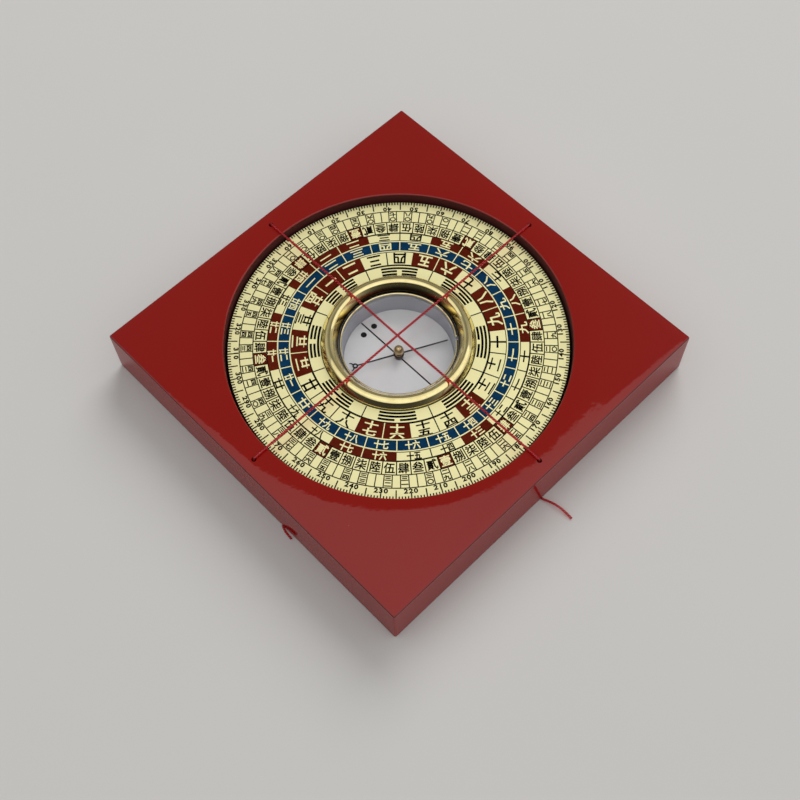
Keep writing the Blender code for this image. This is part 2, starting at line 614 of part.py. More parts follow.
def build():
    clear_scene()
    parts = new_collection("feng_shui_compass")
    cutters = new_collection("feng_shui_compass_cutters")

    lacquer = make_material("red_lacquer", (0.24, 0.012, 0.010), 0.16)
    nylon = make_material("red_thread", (0.36, 0.010, 0.020), 0.30)
    painted_wood = make_material("dark_red_board", (0.09, 0.010, 0.008), 0.45)
    gold_sheet = make_material("pale_gold_sheet", (0.78, 0.72, 0.32), 0.35, metallic=0.4)
    brass = make_material("polished_brass", (0.72, 0.55, 0.20), 0.18, metallic=1.0)
    wire_brass = make_material("wire_brass", (0.80, 0.64, 0.32), 0.22, metallic=1.0)
    cup_plastic = make_material("pale_grey_cup", (0.42, 0.42, 0.50), 0.50)
    card = make_material("white_card", (0.60, 0.59, 0.62), 0.60)
    glass = make_material("clear_glass", (1.0, 1.0, 1.0), 0.02, transmission=1.0)
    pin_steel = make_material("pin_steel", (0.20, 0.18, 0.17), 0.35, metallic=1.0)
    blued_steel = make_material("blued_steel", (0.02, 0.02, 0.025), 0.35, metallic=0.8)
    cap_brass = make_material("cap_brass", (0.52, 0.36, 0.16), 0.25, metallic=1.0)

    east = Vector((1, 0, 0))
    north = Vector((0, 1, 0))
    first = thread_route(-north, east, -THREAD_CROSSING_SHIFT, NORTH_SOUTH_TAIL)
    second = thread_route(-east, north, THREAD_CROSSING_SHIFT, EAST_WEST_TAIL)
    make_base_block(parts, cutters, lacquer, (first[2], second[2]))
    for name, (points, radii, _) in (("thread_north_south", first), ("thread_east_west", second)):
        tube(name, points, THREAD_DIAMETER, parts, nylon, radii=radii)
        length = sum((b - a).length for a, b in zip(points, points[1:]))
        print(f"{name}: {len(points)} points, {length * 1000:.1f} mm long")

    dial_axis = add_axis("dial_axis", WELL_FLOOR_THICKNESS, parts)
    make_dial_board(parts, painted_wood, dial_axis)
    make_dial_plate(parts, gold_sheet, dial_axis)
    make_bezel_ring(parts, brass, dial_axis)
    make_pool_cup(parts, cup_plastic, dial_axis)
    make_floor_card(parts, card, dial_axis)
    make_cover_glass(parts, glass, dial_axis)
    make_retaining_wire(parts, wire_brass, dial_axis)
    make_pivot_pin(parts, pin_steel, dial_axis)

    needle_axis = add_axis("needle_axis", PIN_POINT - WELL_FLOOR_THICKNESS, parts, dial_axis)
    needle_axis.rotation_euler = (0, 0, NEEDLE_ANGLE)
    make_needle(parts, blued_steel, needle_axis)
    make_needle_cap(parts, cap_brass, needle_axis)
    bpy.context.view_layer.update()


build()
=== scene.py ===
# %% [markdown]
# # A feng shui compass (luopan)
#
# A luopan is a printed dial that turns in a square lacquered block. In the dial's middle a
# brass bezel holds the glass of a small needle compass, and two red threads are drawn
# crosswise over everything, so that a reading can be taken where a thread crosses the rings.
#
# The plain solids of the object, the frame, are made elsewhere, in metres and already in their
# places. This notebook loads them, gives them their finishes, and lays finer pieces over the
# ones whose plain form shows: turned brass, drawn wire, thread, and the print on the dial.

# %% Modules, frame and sizes
import json
import math

import bpy
import numpy as np
from mathutils import Matrix, Vector

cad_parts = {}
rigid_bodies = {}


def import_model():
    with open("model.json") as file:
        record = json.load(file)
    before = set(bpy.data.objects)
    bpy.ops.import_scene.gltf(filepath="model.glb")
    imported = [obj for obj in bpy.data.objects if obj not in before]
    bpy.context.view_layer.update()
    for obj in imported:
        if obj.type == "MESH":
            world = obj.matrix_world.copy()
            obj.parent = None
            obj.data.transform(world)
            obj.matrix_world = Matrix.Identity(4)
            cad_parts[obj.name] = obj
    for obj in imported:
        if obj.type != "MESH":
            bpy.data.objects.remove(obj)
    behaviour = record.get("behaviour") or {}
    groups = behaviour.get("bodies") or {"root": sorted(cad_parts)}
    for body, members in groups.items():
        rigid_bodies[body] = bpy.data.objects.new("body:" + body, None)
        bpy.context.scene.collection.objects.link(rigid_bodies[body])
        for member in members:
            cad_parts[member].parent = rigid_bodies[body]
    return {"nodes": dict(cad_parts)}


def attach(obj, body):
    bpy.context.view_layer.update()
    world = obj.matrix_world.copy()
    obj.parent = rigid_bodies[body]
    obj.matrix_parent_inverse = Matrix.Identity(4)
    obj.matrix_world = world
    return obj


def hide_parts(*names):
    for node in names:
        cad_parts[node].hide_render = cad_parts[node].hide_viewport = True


for item in list(bpy.data.objects):
    bpy.data.objects.remove(item, do_unlink=True)
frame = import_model()
nodes = frame["nodes"]
scene = bpy.context.scene
MM = 0.001
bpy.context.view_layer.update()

# %% [markdown]
# ## The camera
#
# A camera can be aimed with a constraint, or by trial until the picture fits. Here its place
# and its three angles were solved from the block's seven visible corners, so they are written
# down as numbers. The camera looks along a forward direction; its X axis is the picture's
# right, its Y axis the picture's up, and it looks down its own -Z axis. The lens is shifted by
# half a pixel each way, because the angles were solved from the pixels' middles.

# %% Camera
CAMERA_PLACE = (-0.102932, -0.111980, 0.274151)
YAW, PITCH, ROLL = 0.827272, 1.092604, -0.033772
LENS, SENSOR = 55.67, 36.0
NEAREST, PICTURE_PIXELS = 0.01, 800


def camera_axes(yaw, pitch, roll):
    """Right, up and forward. Forward is (cos yaw cos pitch, sin yaw cos pitch, -sin pitch);
    right is level and square to it; the roll turns right and up about forward."""
    forward = np.array([math.cos(yaw) * math.cos(pitch), math.sin(yaw) * math.cos(pitch),
                        -math.sin(pitch)])
    right = np.array([math.sin(yaw), -math.cos(yaw), 0.0])
    up = np.cross(right, forward)
    turned_right = math.cos(roll) * right + math.sin(roll) * up
    turned_up = math.cos(roll) * up - math.sin(roll) * right
    return turned_right, turned_up, forward


right, up, forward = camera_axes(YAW, PITCH, ROLL)
camera_data = bpy.data.cameras.new("camera")
camera_data.lens, camera_data.sensor_width = LENS, SENSOR
camera_data.clip_start = NEAREST
camera_data.shift_x, camera_data.shift_y = -0.5 / PICTURE_PIXELS, 0.5 / PICTURE_PIXELS
camera = bpy.data.objects.new("camera", camera_data)
camera.matrix_world = (Matrix.Translation(CAMERA_PLACE)
                       @ Matrix(np.column_stack([right, up, -forward]).tolist()).to_4x4())
scene.collection.objects.link(camera)
scene.camera = camera
print("camera looks down at", round(math.degrees(PITCH), 1), "degrees")

# %% [markdown]
# ## Surfaces as grids of numbers
#
# Blender has primitives and modifiers for rings and tubes. A grid worked out with numpy gives
# the same shapes and more control: a surface is a function of two parameters, its points are
# computed as one array of rows and columns, and the faces join neighbours in the grid. The
# columns always close on themselves. The rows close too on a ring, and elsewhere each end gets
# a fan of triangles round one middle point, so that every skin is closed.

# %% From a grid to a closed skin


def circle(steps):
    """Evenly spaced angles once round, the first of them 0."""
    return np.arange(steps) / steps * 2 * np.pi


def unit(vectors):
    """Each vector scaled to length 1."""
    return vectors / np.maximum(np.linalg.norm(vectors, axis=-1, keepdims=True), 1e-9)


def grid_faces(rows, columns, ring):
    """Quads between neighbours: row i and i + 1, column j and j + 1, counted round."""
    i = np.arange(rows if ring else rows - 1)[:, None]
    j = np.arange(columns)[None, :]
    after = (i + 1) % rows
    beside = (j + 1) % columns
    corners = [i * columns + j, i * columns + beside, after * columns + beside,
               after * columns + j]
    return np.stack(corners, -1).reshape(-1, 4)


def skin(points, ring=False):
    """Vertices and faces of a closed skin over points, whose shape is (rows, columns, 3)."""
    rows, columns = points.shape[:2]
    vertices = points.reshape(-1, 3)
    faces = grid_faces(rows, columns, ring).tolist()
    if not ring:
        vertices = np.vstack([vertices, points[0].mean(0), points[-1].mean(0)])
        j = np.arange(columns)
        beside = (j + 1) % columns
        first = np.stack([beside, j, np.full(columns, rows * columns)], 1)
        last = (rows - 1) * columns + np.stack([j, beside, np.full(columns, columns + 1)], 1)
        faces += first.tolist() + last.tolist()
    return vertices, faces


def volume(vertices, faces):
    """The volume inside: a sixth of the sum of a . (b x c) over triangles fanned from corner a."""
    total = 0.0
    for count in (3, 4):
        group = np.array([face for face in faces if len(face) == count], int).reshape(-1, count)
        for k in range(1, count - 1):
            a, b, c = vertices[group[:, 0]], vertices[group[:, k]], vertices[group[:, k + 1]]
            total += (a * np.cross(b, c)).sum() / 6
    return total


# %% From a skin to a piece


def join(*skins):
    """Several skins as one: their vertices in a row, and their faces counted on from there."""
    vertices, faces, start = [], [], 0
    for points, corners in skins:
        if volume(points, corners) < 0:
            corners = [face[::-1] for face in corners]
        vertices.append(points)
        faces += [[corner + start for corner in face] for face in corners]
        start += len(points)
    return np.vstack(vertices), faces


def mesh_object(name, vertices, faces, finish):
    """A mesh object at the origin, shaded smooth, with one finish."""
    mesh = bpy.data.meshes.new(name)
    mesh.from_pydata(vertices.tolist(), [], faces)
    mesh.shade_smooth()
    mesh.materials.append(finish.material)
    made = bpy.data.objects.new(name, mesh)
    scene.collection.objects.link(made)
    return made


def add_piece(name, shape, finish, body, stands_for=(), sharp=40):
    """A piece that rides on a body; edges over sharp degrees stay crisp."""
    vertices, faces = join(shape)
    piece = mesh_object(name, vertices, faces, finish)
    piece.data.set_sharp_from_angle(angle=math.radians(sharp))
    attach(piece, body)
    if stands_for:
        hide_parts(*stands_for)
    print(f"{name}: {len(faces)} faces, {volume(vertices, faces) / MM ** 3:.2f} cubic mm")
    return piece


# %% Turned shapes and round bars


def turned(profile, steps):
    """A shape off a lathe: profile gives rows of (radius, height), and column a is at angle a
    round the Z axis, so a point is (radius cos a, radius sin a, height)."""
    profile = np.asarray(profile, float)
    angle = circle(steps)
    radius, height = profile[:, :1], profile[:, 1:]
    return np.stack([radius * np.cos(angle), radius * np.sin(angle),
                     height * np.ones(steps)], -1)


def level_sides(tangents):
    """A level unit vector square to each tangent. Its bearing is the tangent's plus a quarter
    turn; where the line stands upright, the bearing is read off between its neighbours."""
    level = np.linalg.norm(tangents[:, :2], axis=1)
    lies = level > 0.3
    place = np.arange(len(tangents))
    bearing = np.unwrap(np.arctan2(tangents[lies, 1], tangents[lies, 0]))
    bearing = np.interp(place, place[lies], bearing) + np.pi / 2
    return np.stack([np.cos(bearing), np.sin(bearing), np.zeros(len(place))], 1)


def tube(line, tangents, side, radius, steps):
    """A round bar along a line: place + radius (cos a side + sin a above), where above is
    square to side and tangent."""
    a = circle(steps)[None, :, None]
    above = np.cross(tangents, side)
    return line[:, None] + radius * (np.cos(a) * side[:, None] + np.sin(a) * above[:, None])


def arc(centre, half_sizes, start, end, steps):
    """Points of a flat ellipse: centre + (a cos t, b sin t), t from start to end in degrees."""
    t = np.radians(np.linspace(start, end, steps + 1))[:, None]
    return np.asarray(centre) + np.asarray(half_sizes) * np.hstack([np.cos(t), np.sin(t)])


# %% [markdown]
# ## Shader sums as Python expressions
#
# A finish is a tree of nodes. Drawing it by hand is fine for one or two; for a dozen it is
# quicker to write sums. One small class stands for a node's output and turns +, -, * and / on
# it into Math nodes. Any other node comes from one method that takes the node's type, its
# settings and what goes into its sockets. Patterns are read in Object coordinates, which are
# metres here, because every piece's object sits at the origin.

# %% A value that does sums


class Value:
    """A node's output. Sums on it add Math nodes; numbers may stand on either side."""

    def __init__(self, recipe, socket):
        self.recipe, self.socket = recipe, socket

    def sum(self, operation, *terms):
        return self.recipe.node("ShaderNodeMath", {"operation": operation}, terms)

    def __add__(self, other):
        return self.sum("ADD", self, other)

    def __sub__(self, other):
        return self.sum("SUBTRACT", self, other)

    def __rsub__(self, other):
        return self.sum("SUBTRACT", other, self)

    def __mul__(self, other):
        return self.sum("MULTIPLY", self, other)

    def __truediv__(self, other):
        return self.sum("DIVIDE", self, other)

    __radd__, __rmul__ = __add__, __mul__

    def rise(self, low, high):
        """0 below low, 1 above high, and a smooth step between; turned round if low > high."""
        ends = {"Value": self, "From Min": min(low, high), "From Max": max(low, high),
                "To Min": float(low > high), "To Max": float(low <= high)}
        return self.recipe.node("ShaderNodeMapRange", {"interpolation_type": "SMOOTHSTEP"}, ends)


# %% A recipe of nodes


class Recipe:
    """A node tree, and the one method that adds nodes to it."""

    def __init__(self, tree):
        self.tree = tree

    def node(self, kind, settings=None, inputs=(), output=0):
        """Adds a node: its settings first, then a value or a link for each socket."""
        made = self.tree.nodes.new(kind)
        for key, value in (settings or {}).items():
            setattr(made, key, value)
        for key, value in (inputs.items() if isinstance(inputs, dict) else enumerate(inputs)):
            self.feed(made.inputs[key], value)
        return Value(self, made.outputs[output])

    def feed(self, socket, value):
        if isinstance(value, Value):
            self.tree.links.new(value.socket, socket)
        else:
            socket.default_value = value


# %% A finish and its patterns


class Finish(Recipe):
    """A material: a Principled shader with plain values on its sockets, and patterns for it."""

    def __init__(self, name, **plain):
        self.material = bpy.data.materials.new(name)
        self.material.use_nodes = True
        super().__init__(self.material.node_tree)
        self.shader = self.tree.nodes["Principled BSDF"]
        for key, value in plain.items():
            self.shader.inputs[key.replace("_", " ")].default_value = value
        self.place = self.node("ShaderNodeTexCoord", output="Object")

    def put(self, **links):
        for key, value in links.items():
            self.feed(self.shader.inputs[key.replace("_", " ")], value)
        return self

    def mix_in(self, factor, other):
        """Another shader takes the Principled shader's place where factor is 1."""
        own = Value(self, self.shader.outputs[0])
        mixed = self.node("ShaderNodeMixShader", {}, [factor, own, other])
        self.feed(self.tree.nodes["Material Output"].inputs["Surface"], mixed)

    def stretch(self, x, y, z, turn=0.0):
        """The place, turned about Z and stretched along each axis."""
        inputs = {"Vector": self.place, "Rotation": (0.0, 0.0, turn), "Scale": (x, y, z)}
        return self.node("ShaderNodeMapping", {"vector_type": "POINT"}, inputs)

    def noise(self, size, detail=2.0, roughness=0.5, place=None):
        """Cloudy noise from 0 to 1 whose patches are about size metres across."""
        inputs = {"Vector": place or self.place, "Scale": 1.0 / size, "Detail": detail,
                  "Roughness": roughness}
        return self.node("ShaderNodeTexNoise", {}, inputs)

    def specks(self, spacing, radius, share):
        """1 in small round specks: near a cell's middle, in about that share of the cells."""
        inputs = {"Vector": self.place, "Scale": 1.0 / spacing}
        away = self.node("ShaderNodeTexVoronoi", {}, inputs)
        lot = Value(self, away.socket.node.outputs["Color"])
        lot = self.node("ShaderNodeSeparateColor", {}, [lot])
        near_middle = away.rise(radius / spacing, 0.6 * radius / spacing)
        return near_middle * lot.rise(1 - share, 1 - share + 0.01)

    def blend(self, mask, low, high):
        """The colour low where mask is 0 and high where it is 1."""
        low, high = (c if isinstance(c, Value) else (*c, 1.0) for c in (low, high))
        sockets = {0: mask, 6: low, 7: high}
        return self.node("ShaderNodeMix", {"data_type": "RGBA"}, sockets, output=2)

    def bump(self, height, depth, under=None):
        """A normal from a height that runs from 0 to 1 over depth metres."""
        inputs = {"Height": height, "Distance": depth, "Strength": 1.0}
        if under is not None:
            inputs["Normal"] = under
        return self.node("ShaderNodeBump", {}, inputs)

    def axis_distance(self):
        """Metres from the Z axis."""
        flat = self.stretch(1, 1, 0)
        return self.node("ShaderNodeVectorMath", {"operation": "LENGTH"}, [flat], "Value")

    def heights(self):
        """The place's x, y and z as three values."""
        split = self.node("ShaderNodeSeparateXYZ", {}, [self.place]).socket.node
        return [Value(self, socket) for socket in split.outputs]


def dress(node, finish):
    """Puts a finish on a solid of the frame, through its material slots."""
    for place in nodes[node].material_slots:
        place.material = finish.material
    print(f"{node}: {finish.material.name}")


# %% [markdown]
# ## The threads
#
# Two red nylon threads cross over the dial. Each starts in a knot under the block, comes up
# through a small hole, runs over the bezel, goes down the far hole and leaves a short tail
# under the block's edge. A Blender curve with a bevel would do; a bar along a computed line
# keeps the line exactly where the solids have it. The line is made of the same points: arcs
# round the holes' rims, straight spans, and a Catmull-Rom curve through the tail's points.

# %% The threads' line
THREAD_DIAMETER = 0.0006
HALF_SIDE, HOLE_REACH, BLOCK_TOP = 0.0500, 0.0466, 0.0145
THREAD_LEVEL, RIM_RADIUS, UNDER_LEVEL, UNDER_RADIUS = 0.0150, 0.0005, 0.0004, 0.0006
WELL_REACH, CREST_REACH = 0.0425, 0.016825
CROSSING_SHIFT, LOWEST, BEND_GAP = 0.00031, 0.0001, 0.0002
UPWARD = np.array([0.0, 0.0, 1.0])
TAILS = {
    "north_south": [(-0.90, -1.00, 0.40), (-1.30, 0.20, 0.40), (-0.84, 1.73, 0.60),
                    (-0.44, 3.30, 0.80), (-0.14, 5.08, 0.80), (-0.04, 6.93, 0.55),
                    (-0.09, 8.63, 0.35)],
    "east_west": [(-5.00, -2.10, 0.40), (-9.30, -1.30, 0.40), (-11.00, -0.65, 0.40),
                  (-12.05, 0.14, 0.40), (-13.30, 0.60, 0.45), (-14.60, 0.78, 0.45),
                  (-15.75, 0.85, 0.40)],
}


def smooth_through(points, steps):
    """A Catmull-Rom curve. From P1 to P2, with P0 before and P3 after, the place at share t is
    half of 2 P1 + (P2 - P0) t + (2 P0 - 5 P1 + 4 P2 - P3) t^2 + (3 P1 - P0 - 3 P2 + P3) t^3."""
    padded = np.vstack([2 * points[0] - points[1], points, 2 * points[-1] - points[-2]])
    p0, p1, p2, p3 = (padded[k:len(padded) - 3 + k, None] for k in range(4))
    t = (np.arange(steps) / steps)[None, :, None]
    curve = 0.5 * (2 * p1 + (p2 - p0) * t + (2 * p0 - 5 * p1 + 4 * p2 - p3) * t ** 2
                   + (3 * p1 - p0 - 3 * p2 + p3) * t ** 3)
    return np.vstack([curve.reshape(-1, 3), points[-1:]])


def quarter(corner, start, end, radius, steps=10):
    """A quarter bend: corner + radius (start cos t + end sin t), t from 0 to a right angle."""
    t = np.linspace(0, np.pi / 2, steps + 1)[:, None]
    return corner + radius * (start * np.cos(t) + end * np.sin(t))


def thread_line(along, across, shift, tail):
    """Up the near hole, over the dial, down the far hole and out under the block's side."""
    near, far = -along * HOLE_REACH, along * HOLE_REACH
    rise = near + UPWARD * np.linspace(LOWEST, BLOCK_TOP - BEND_GAP, 16)[:, None]
    first = quarter(near + along * RIM_RADIUS + UPWARD * BLOCK_TOP, -along, UPWARD, RIM_RADIUS)
    reach = np.array([-WELL_REACH, -CREST_REACH, -THREAD_DIAMETER, THREAD_DIAMETER, CREST_REACH,
                      WELL_REACH])
    level = THREAD_LEVEL + np.array([0, 0, shift, shift, 0, 0])
    fine = np.linspace(-WELL_REACH, WELL_REACH, 69)
    span = fine[:, None] * along + np.interp(fine, reach, level)[:, None] * UPWARD
    second = quarter(far - along * RIM_RADIUS + UPWARD * BLOCK_TOP, UPWARD, along, RIM_RADIUS)
    places = np.array(tail) * MM
    tail = (places[:, :1] * across + (HALF_SIDE + places[:, 1:2]) * along
            + places[:, 2:] * UPWARD)
    away = unit((tail[0] - far) * [1, 1, 0])
    ceiling = UPWARD * (UNDER_LEVEL + UNDER_RADIUS)
    under = quarter(far + away * UNDER_RADIUS + ceiling, -away, -UPWARD, UNDER_RADIUS)
    drop = far + UPWARD * np.linspace(BLOCK_TOP - BEND_GAP, ceiling[2] + BEND_GAP, 16)[:, None]
    run = smooth_through(np.vstack([under[-1], tail]), 9)[1:]
    return np.vstack([rise, first, span, second, drop, under, run])


EAST, NORTH = np.array([1.0, 0, 0]), np.array([0, 1.0, 0])
lines = {"north_south": thread_line(-NORTH, EAST, -CROSSING_SHIFT, TAILS["north_south"]),
         "east_west": thread_line(-EAST, NORTH, CROSSING_SHIFT, TAILS["east_west"])}
lengths = {name: np.linalg.norm(np.diff(line, axis=0), axis=1).sum()
           for name, line in lines.items()}
print("thread lengths in mm:", {name: round(length / MM, 1) for name, length in lengths.items()})

# %% [markdown]
# Nylon line this thin lets light through, and its twisted strands show as a fine row of dots
# in the streak along the side that faces the light. A painted red bar would look like wire,
# so part of the light goes through. The strands are a sine wave over x + y: each thread runs
# along one of the two axes, so on both of them the wave's stripes lie slantwise, as a twist.
#
# A path tracer can't aim light through a body that bends it, so the thread would cast a shadow
# with stray bright spots. For rays that only ask whether a lamp is in sight, the finish is
# therefore swapped for a clear shader with a tint.

# %% Thread finish


def clear_to_lamps(finish, tint):
    """Swaps a finish for a clear, tinted shader where a ray only asks for a lamp."""
    clear = finish.node("ShaderNodeBsdfTransparent", {}, [(*tint, 1.0)])
    finish.mix_in(finish.node("ShaderNodeLightPath", output="Is Shadow Ray"), clear)


STRAND, STRAND_DEPTH = 0.0008, 0.000009
nylon = Finish("red_nylon", Transmission_Weight=0.74, IOR=1.45, Specular_IOR_Level=0.5)
tint = nylon.noise(0.004, detail=1)
x, y = nylon.heights()[:2]
turns = nylon.node("ShaderNodeMath", {"operation": "SINE"}, [(x + y) * (2 * math.pi / STRAND)])
strands = 0.5 + 0.5 * turns
crimson = nylon.blend(tint, (0.44, 0.012, 0.028), (0.56, 0.026, 0.038))
nylon.put(Base_Color=nylon.blend(0.30 * strands, crimson, (0.74, 0.045, 0.050)),
          Roughness=0.18 + 0.10 * strands, Normal=nylon.bump(strands, STRAND_DEPTH))
clear_to_lamps(nylon, (0.80, 0.42, 0.42))

# %% Threads and their knots
EXITS = {"north_south": -NORTH, "east_west": -EAST}
FULLNESS = 0.96  # keeps the round bar inside the many-sided solid that it stands for
KNOT_LEVEL, KNOT_RADIUS, KNOT_HALF_HEIGHT = 0.00085, 0.00060, 0.00045


def knot(centre, radius, half_height, thickness, steps=90):
    """A pulled overhand knot, as a trefoil: (sin t + 2 sin 2t, cos t - 2 cos 2t, -sin 3t),
    with the first two scaled to radius and the third to half_height."""
    t = circle(steps)
    line = np.stack([(np.sin(t) + 2 * np.sin(2 * t)) / 3 * radius,
                     (np.cos(t) - 2 * np.cos(2 * t)) / 3 * radius,
                     -np.sin(3 * t) * half_height], 1)
    tangent = unit(np.roll(line, -1, 0) - np.roll(line, 1, 0))
    side = unit(np.cross(tangent, UPWARD))
    return skin(tube(centre + line, tangent, side, thickness / 2, 10), ring=True)


for name, line in lines.items():
    near = -EXITS[name] * HOLE_REACH
    tangents = unit(np.gradient(line, axis=0))
    shape = skin(tube(line, tangents, level_sides(tangents), FULLNESS * THREAD_DIAMETER / 2, 12))
    thread = add_piece(f"thread_{name}_line", shape, nylon, "base",
                       [f"thread_{name}"])
    pulled = knot(near + UPWARD * KNOT_LEVEL, KNOT_RADIUS, KNOT_HALF_HEIGHT, THREAD_DIAMETER)
    lump = add_piece(f"knot_{name}", pulled, nylon, "base")

# %% [markdown]
# ## The lacquered block
#
# The block is wood under many coats of red lacquer. Its solid has the right shape, but its
# faces are flat, so each small facet of the rounded edges would flash by itself in the gloss.
# The solid's loose triangles are therefore merged in a copy, which is shaded smooth, with
# normals weighted by face area: the broad faces stay flat and only the roundings bend.
#
# Brushed lacquer never dries quite level. Long shallow waves and a fine orange peel make the
# reflections in it wander, and both are far too shallow to model, so a bump has them. The
# arrises are painted darker, a painted shade for the dark line that a rounded edge shows, and
# the wall of the dial's well is painted dark and made dull: its dark red is painted shade in
# that recess.
#
# Seen from so steeply above, the sides mirror the floor strongly, and in this light they came
# out too pale. So their red is painted lighter than the top's, and a share of plain matt red is
# mixed into their gloss, set by comparing tones. This is painted light, a correction for this
# view and not something that is known of the real lacquer.

# %% Lacquer
ARRIS_OUT, ARRIS_UP = (0.04945, HALF_SIDE), (0.01385, 0.0143)
SIDE_OUT, SIDE_DOWN, MATT_SHARE = (0.0496, 0.0499), (0.0141, 0.0138), 0.40
WELL_IN, WELL_UP = (0.04258, 0.04250), (0.0010, 0.0020)
lacquer = Finish("red_lacquer", IOR=1.5, Specular_IOR_Level=0.52)
x, y, z = lacquer.heights()
reach = lacquer.axis_distance()
across, deep = x.sum("ABSOLUTE", x), y.sum("ABSOLUTE", y)
outward = across.sum("MAXIMUM", across, deep)
# Painted shade: the block's rounded top edges get a darker red, for the dark line such an edge
# shows in this light.
painted_arris_shade = outward.rise(*ARRIS_OUT) * z.rise(*ARRIS_UP)
cloud = lacquer.noise(0.026, detail=3)
dust = lacquer.specks(0.0052, 0.00010, 0.15)
red = lacquer.blend(cloud, (0.208, 0.0036, 0.0012), (0.240, 0.0058, 0.0022))
red = lacquer.blend(painted_arris_shade * 0.6, red, (0.085, 0.0008, 0.0006))
red = lacquer.blend(dust * 0.3, red, (0.50, 0.30, 0.26))
# Painted shade in the dial's well: the recessed wall gets a very dark red; the same mask also
# makes it rough.
dull_shaded_well = reach.rise(*WELL_IN) * z.rise(*WELL_UP)
red = lacquer.blend(dull_shaded_well, red, (0.060, 0.0012, 0.0008))
side_face = outward.rise(*SIDE_OUT) * z.rise(*SIDE_DOWN)
# Painted light: the sides' red is lighter than the top's, to match how they look in this light.
painted_side_red = lacquer.blend(cloud, (0.265, 0.0045, 0.0016), (0.305, 0.0056, 0.0020))
red = lacquer.blend(side_face, red, painted_side_red)

# %% Lacquer's roll-off, waves and smears


def ramp(value, start, end):
    """0 at start, 1 at end, straight between, and level beyond."""
    share = (value - start) / (end - start)
    return share.sum("MINIMUM", share.sum("MAXIMUM", share, 0.0), 1.0)


ROLL_EDGE, ROLL_RIM, ROLL_DEPTH, TOP_ONLY = 0.00245, 0.0070, 0.00016, (0.002, 0.010)
near_side = [ramp(value, HALF_SIDE - ROLL_EDGE, HALF_SIDE) for value in (across, deep)]
near_rim = ramp(reach, WELL_REACH + ROLL_RIM, WELL_REACH) * z.rise(*TOP_ONLY)
fall = 0.375 * (near_side[0] * near_side[0] + near_side[1] * near_side[1]) + near_rim * near_rim
rolled = lacquer.bump(1 - fall, ROLL_DEPTH)
waves = lacquer.bump(lacquer.noise(0.0075, detail=1), 0.000022, rolled)
waves = lacquer.bump(lacquer.noise(0.0017, detail=1), 0.000006, waves)
peel = lacquer.bump(lacquer.noise(0.0007, detail=1), 0.0000014, waves)
smear = lacquer.noise(0.012, detail=4, roughness=0.62, place=lacquer.stretch(1, 0.35, 1, 0.7))
lacquer.put(Base_Color=red, Normal=peel,
            Roughness=0.03 + 0.05 * smear.rise(0.5, 0.85) + 0.25 * dust + 0.85 * dull_shaded_well)
matt = lacquer.node("ShaderNodeBsdfDiffuse", {}, [(0.285, 0.0050, 0.0018, 1.0)])
lacquer.mix_in(MATT_SHARE * side_face, matt)

# %% The block, merged and smooth


def merged(mesh, axes=3, digits=7):
    """A mesh's places along its first axes and its triangles, where vertices whose places
    agree to that many digits are made one, and triangles without width are left out."""
    mesh.calc_loop_triangles()
    places = np.empty(3 * len(mesh.vertices))
    mesh.vertices.foreach_get("co", places)
    corners = np.empty(3 * len(mesh.loop_triangles), int)
    mesh.loop_triangles.foreach_get("vertices", corners)
    places = np.round(places.reshape(-1, 3)[:, :axes], digits)
    places, index = np.unique(places, axis=0, return_inverse=True)
    triangles = index.reshape(-1)[corners].reshape(-1, 3)
    return places, triangles[(triangles != np.roll(triangles, 1, 1)).all(1)]


places, triangles = merged(nodes["base_block"].data)
block = add_piece("lacquered_block", (places, triangles.tolist()), lacquer, "base",
                  ["base_block"], sharp=42)
weighting = block.modifiers.new("weighted_normals", "WEIGHTED_NORMAL")
weighting.keep_sharp = True

# %% [markdown]
# ## The dial's board and its printed sheet
#
# The dial is a painted wooden disc with a thin gold-coloured sheet glued on top. The sheet is
# satin: a part of it mirrors like metal, softly, and most of it is simply pale gold. Its faint
# rolling grain runs one way, so one noise is stretched along X. The board shows only as a dark
# line in the gap round the dial, with a dull brushed paint.

# %% Board and sheet
board = Finish("dark_red_board")
brush = board.noise(0.0008, detail=3, place=board.stretch(0.12, 1, 1))
board.put(Base_Color=board.blend(brush, (0.050, 0.006, 0.005), (0.105, 0.013, 0.010)),
          Roughness=0.40 + 0.2 * brush, Normal=board.bump(brush, 0.00003))
dress("dial_board", board)

sheet = Finish("pale_gold_sheet", Metallic=0.36)
grain = sheet.noise(0.00035, detail=2, place=sheet.stretch(0.05, 1, 1))
stain = sheet.noise(0.011, detail=4, roughness=0.6)
pits = sheet.specks(0.0030, 0.00007, 0.3)
gold = sheet.blend(stain, (0.95, 0.885, 0.460), (0.99, 0.935, 0.505))
gold = sheet.blend(pits * 0.5, gold, (0.30, 0.24, 0.10))
sheet.put(Base_Color=gold, Roughness=0.26 + 0.06 * grain + 0.05 * stain,
          Normal=sheet.bump(grain, 0.0000012))
dress("dial_plate", sheet)

# %% [markdown]
# ## The print: inks and flat shapes
#
# Such a sheet would have three inks side by side, black, maroon and blue, and its gold signs in
# the coloured cells would be bare sheet. A picture could hold this, but it would blur close up.
# Each ink is a thin film of its own instead, a few hundredths of a millimetre thick, so edges
# stay crisp from any distance. Where gold signs stand in a coloured cell, a gold film lies on
# top of the colour, which looks the same as bare sheet.
#
# All shapes start flat, as points and triangles in the plane. The dial is measured in
# bearings: degrees clockwise from north, which is +Y, so a point at bearing b and radius r is
# (r sin b, r cos b).

# %% Inks


def ink(name, thin, thick, roughness):
    """A printing ink: mottled where it is thinner, and a little rough."""
    made = Finish(name, Specular_IOR_Level=0.03)
    mottle = made.noise(0.0012, detail=4, roughness=0.65)
    broad = made.noise(0.009, detail=2)
    cover = (0.6 * mottle + 0.4 * broad).rise(0.30, 0.62)
    return made.put(Base_Color=made.blend(cover, thin, thick), Roughness=roughness + 0.12 * mottle,
                    Normal=made.bump(mottle, 0.000004))


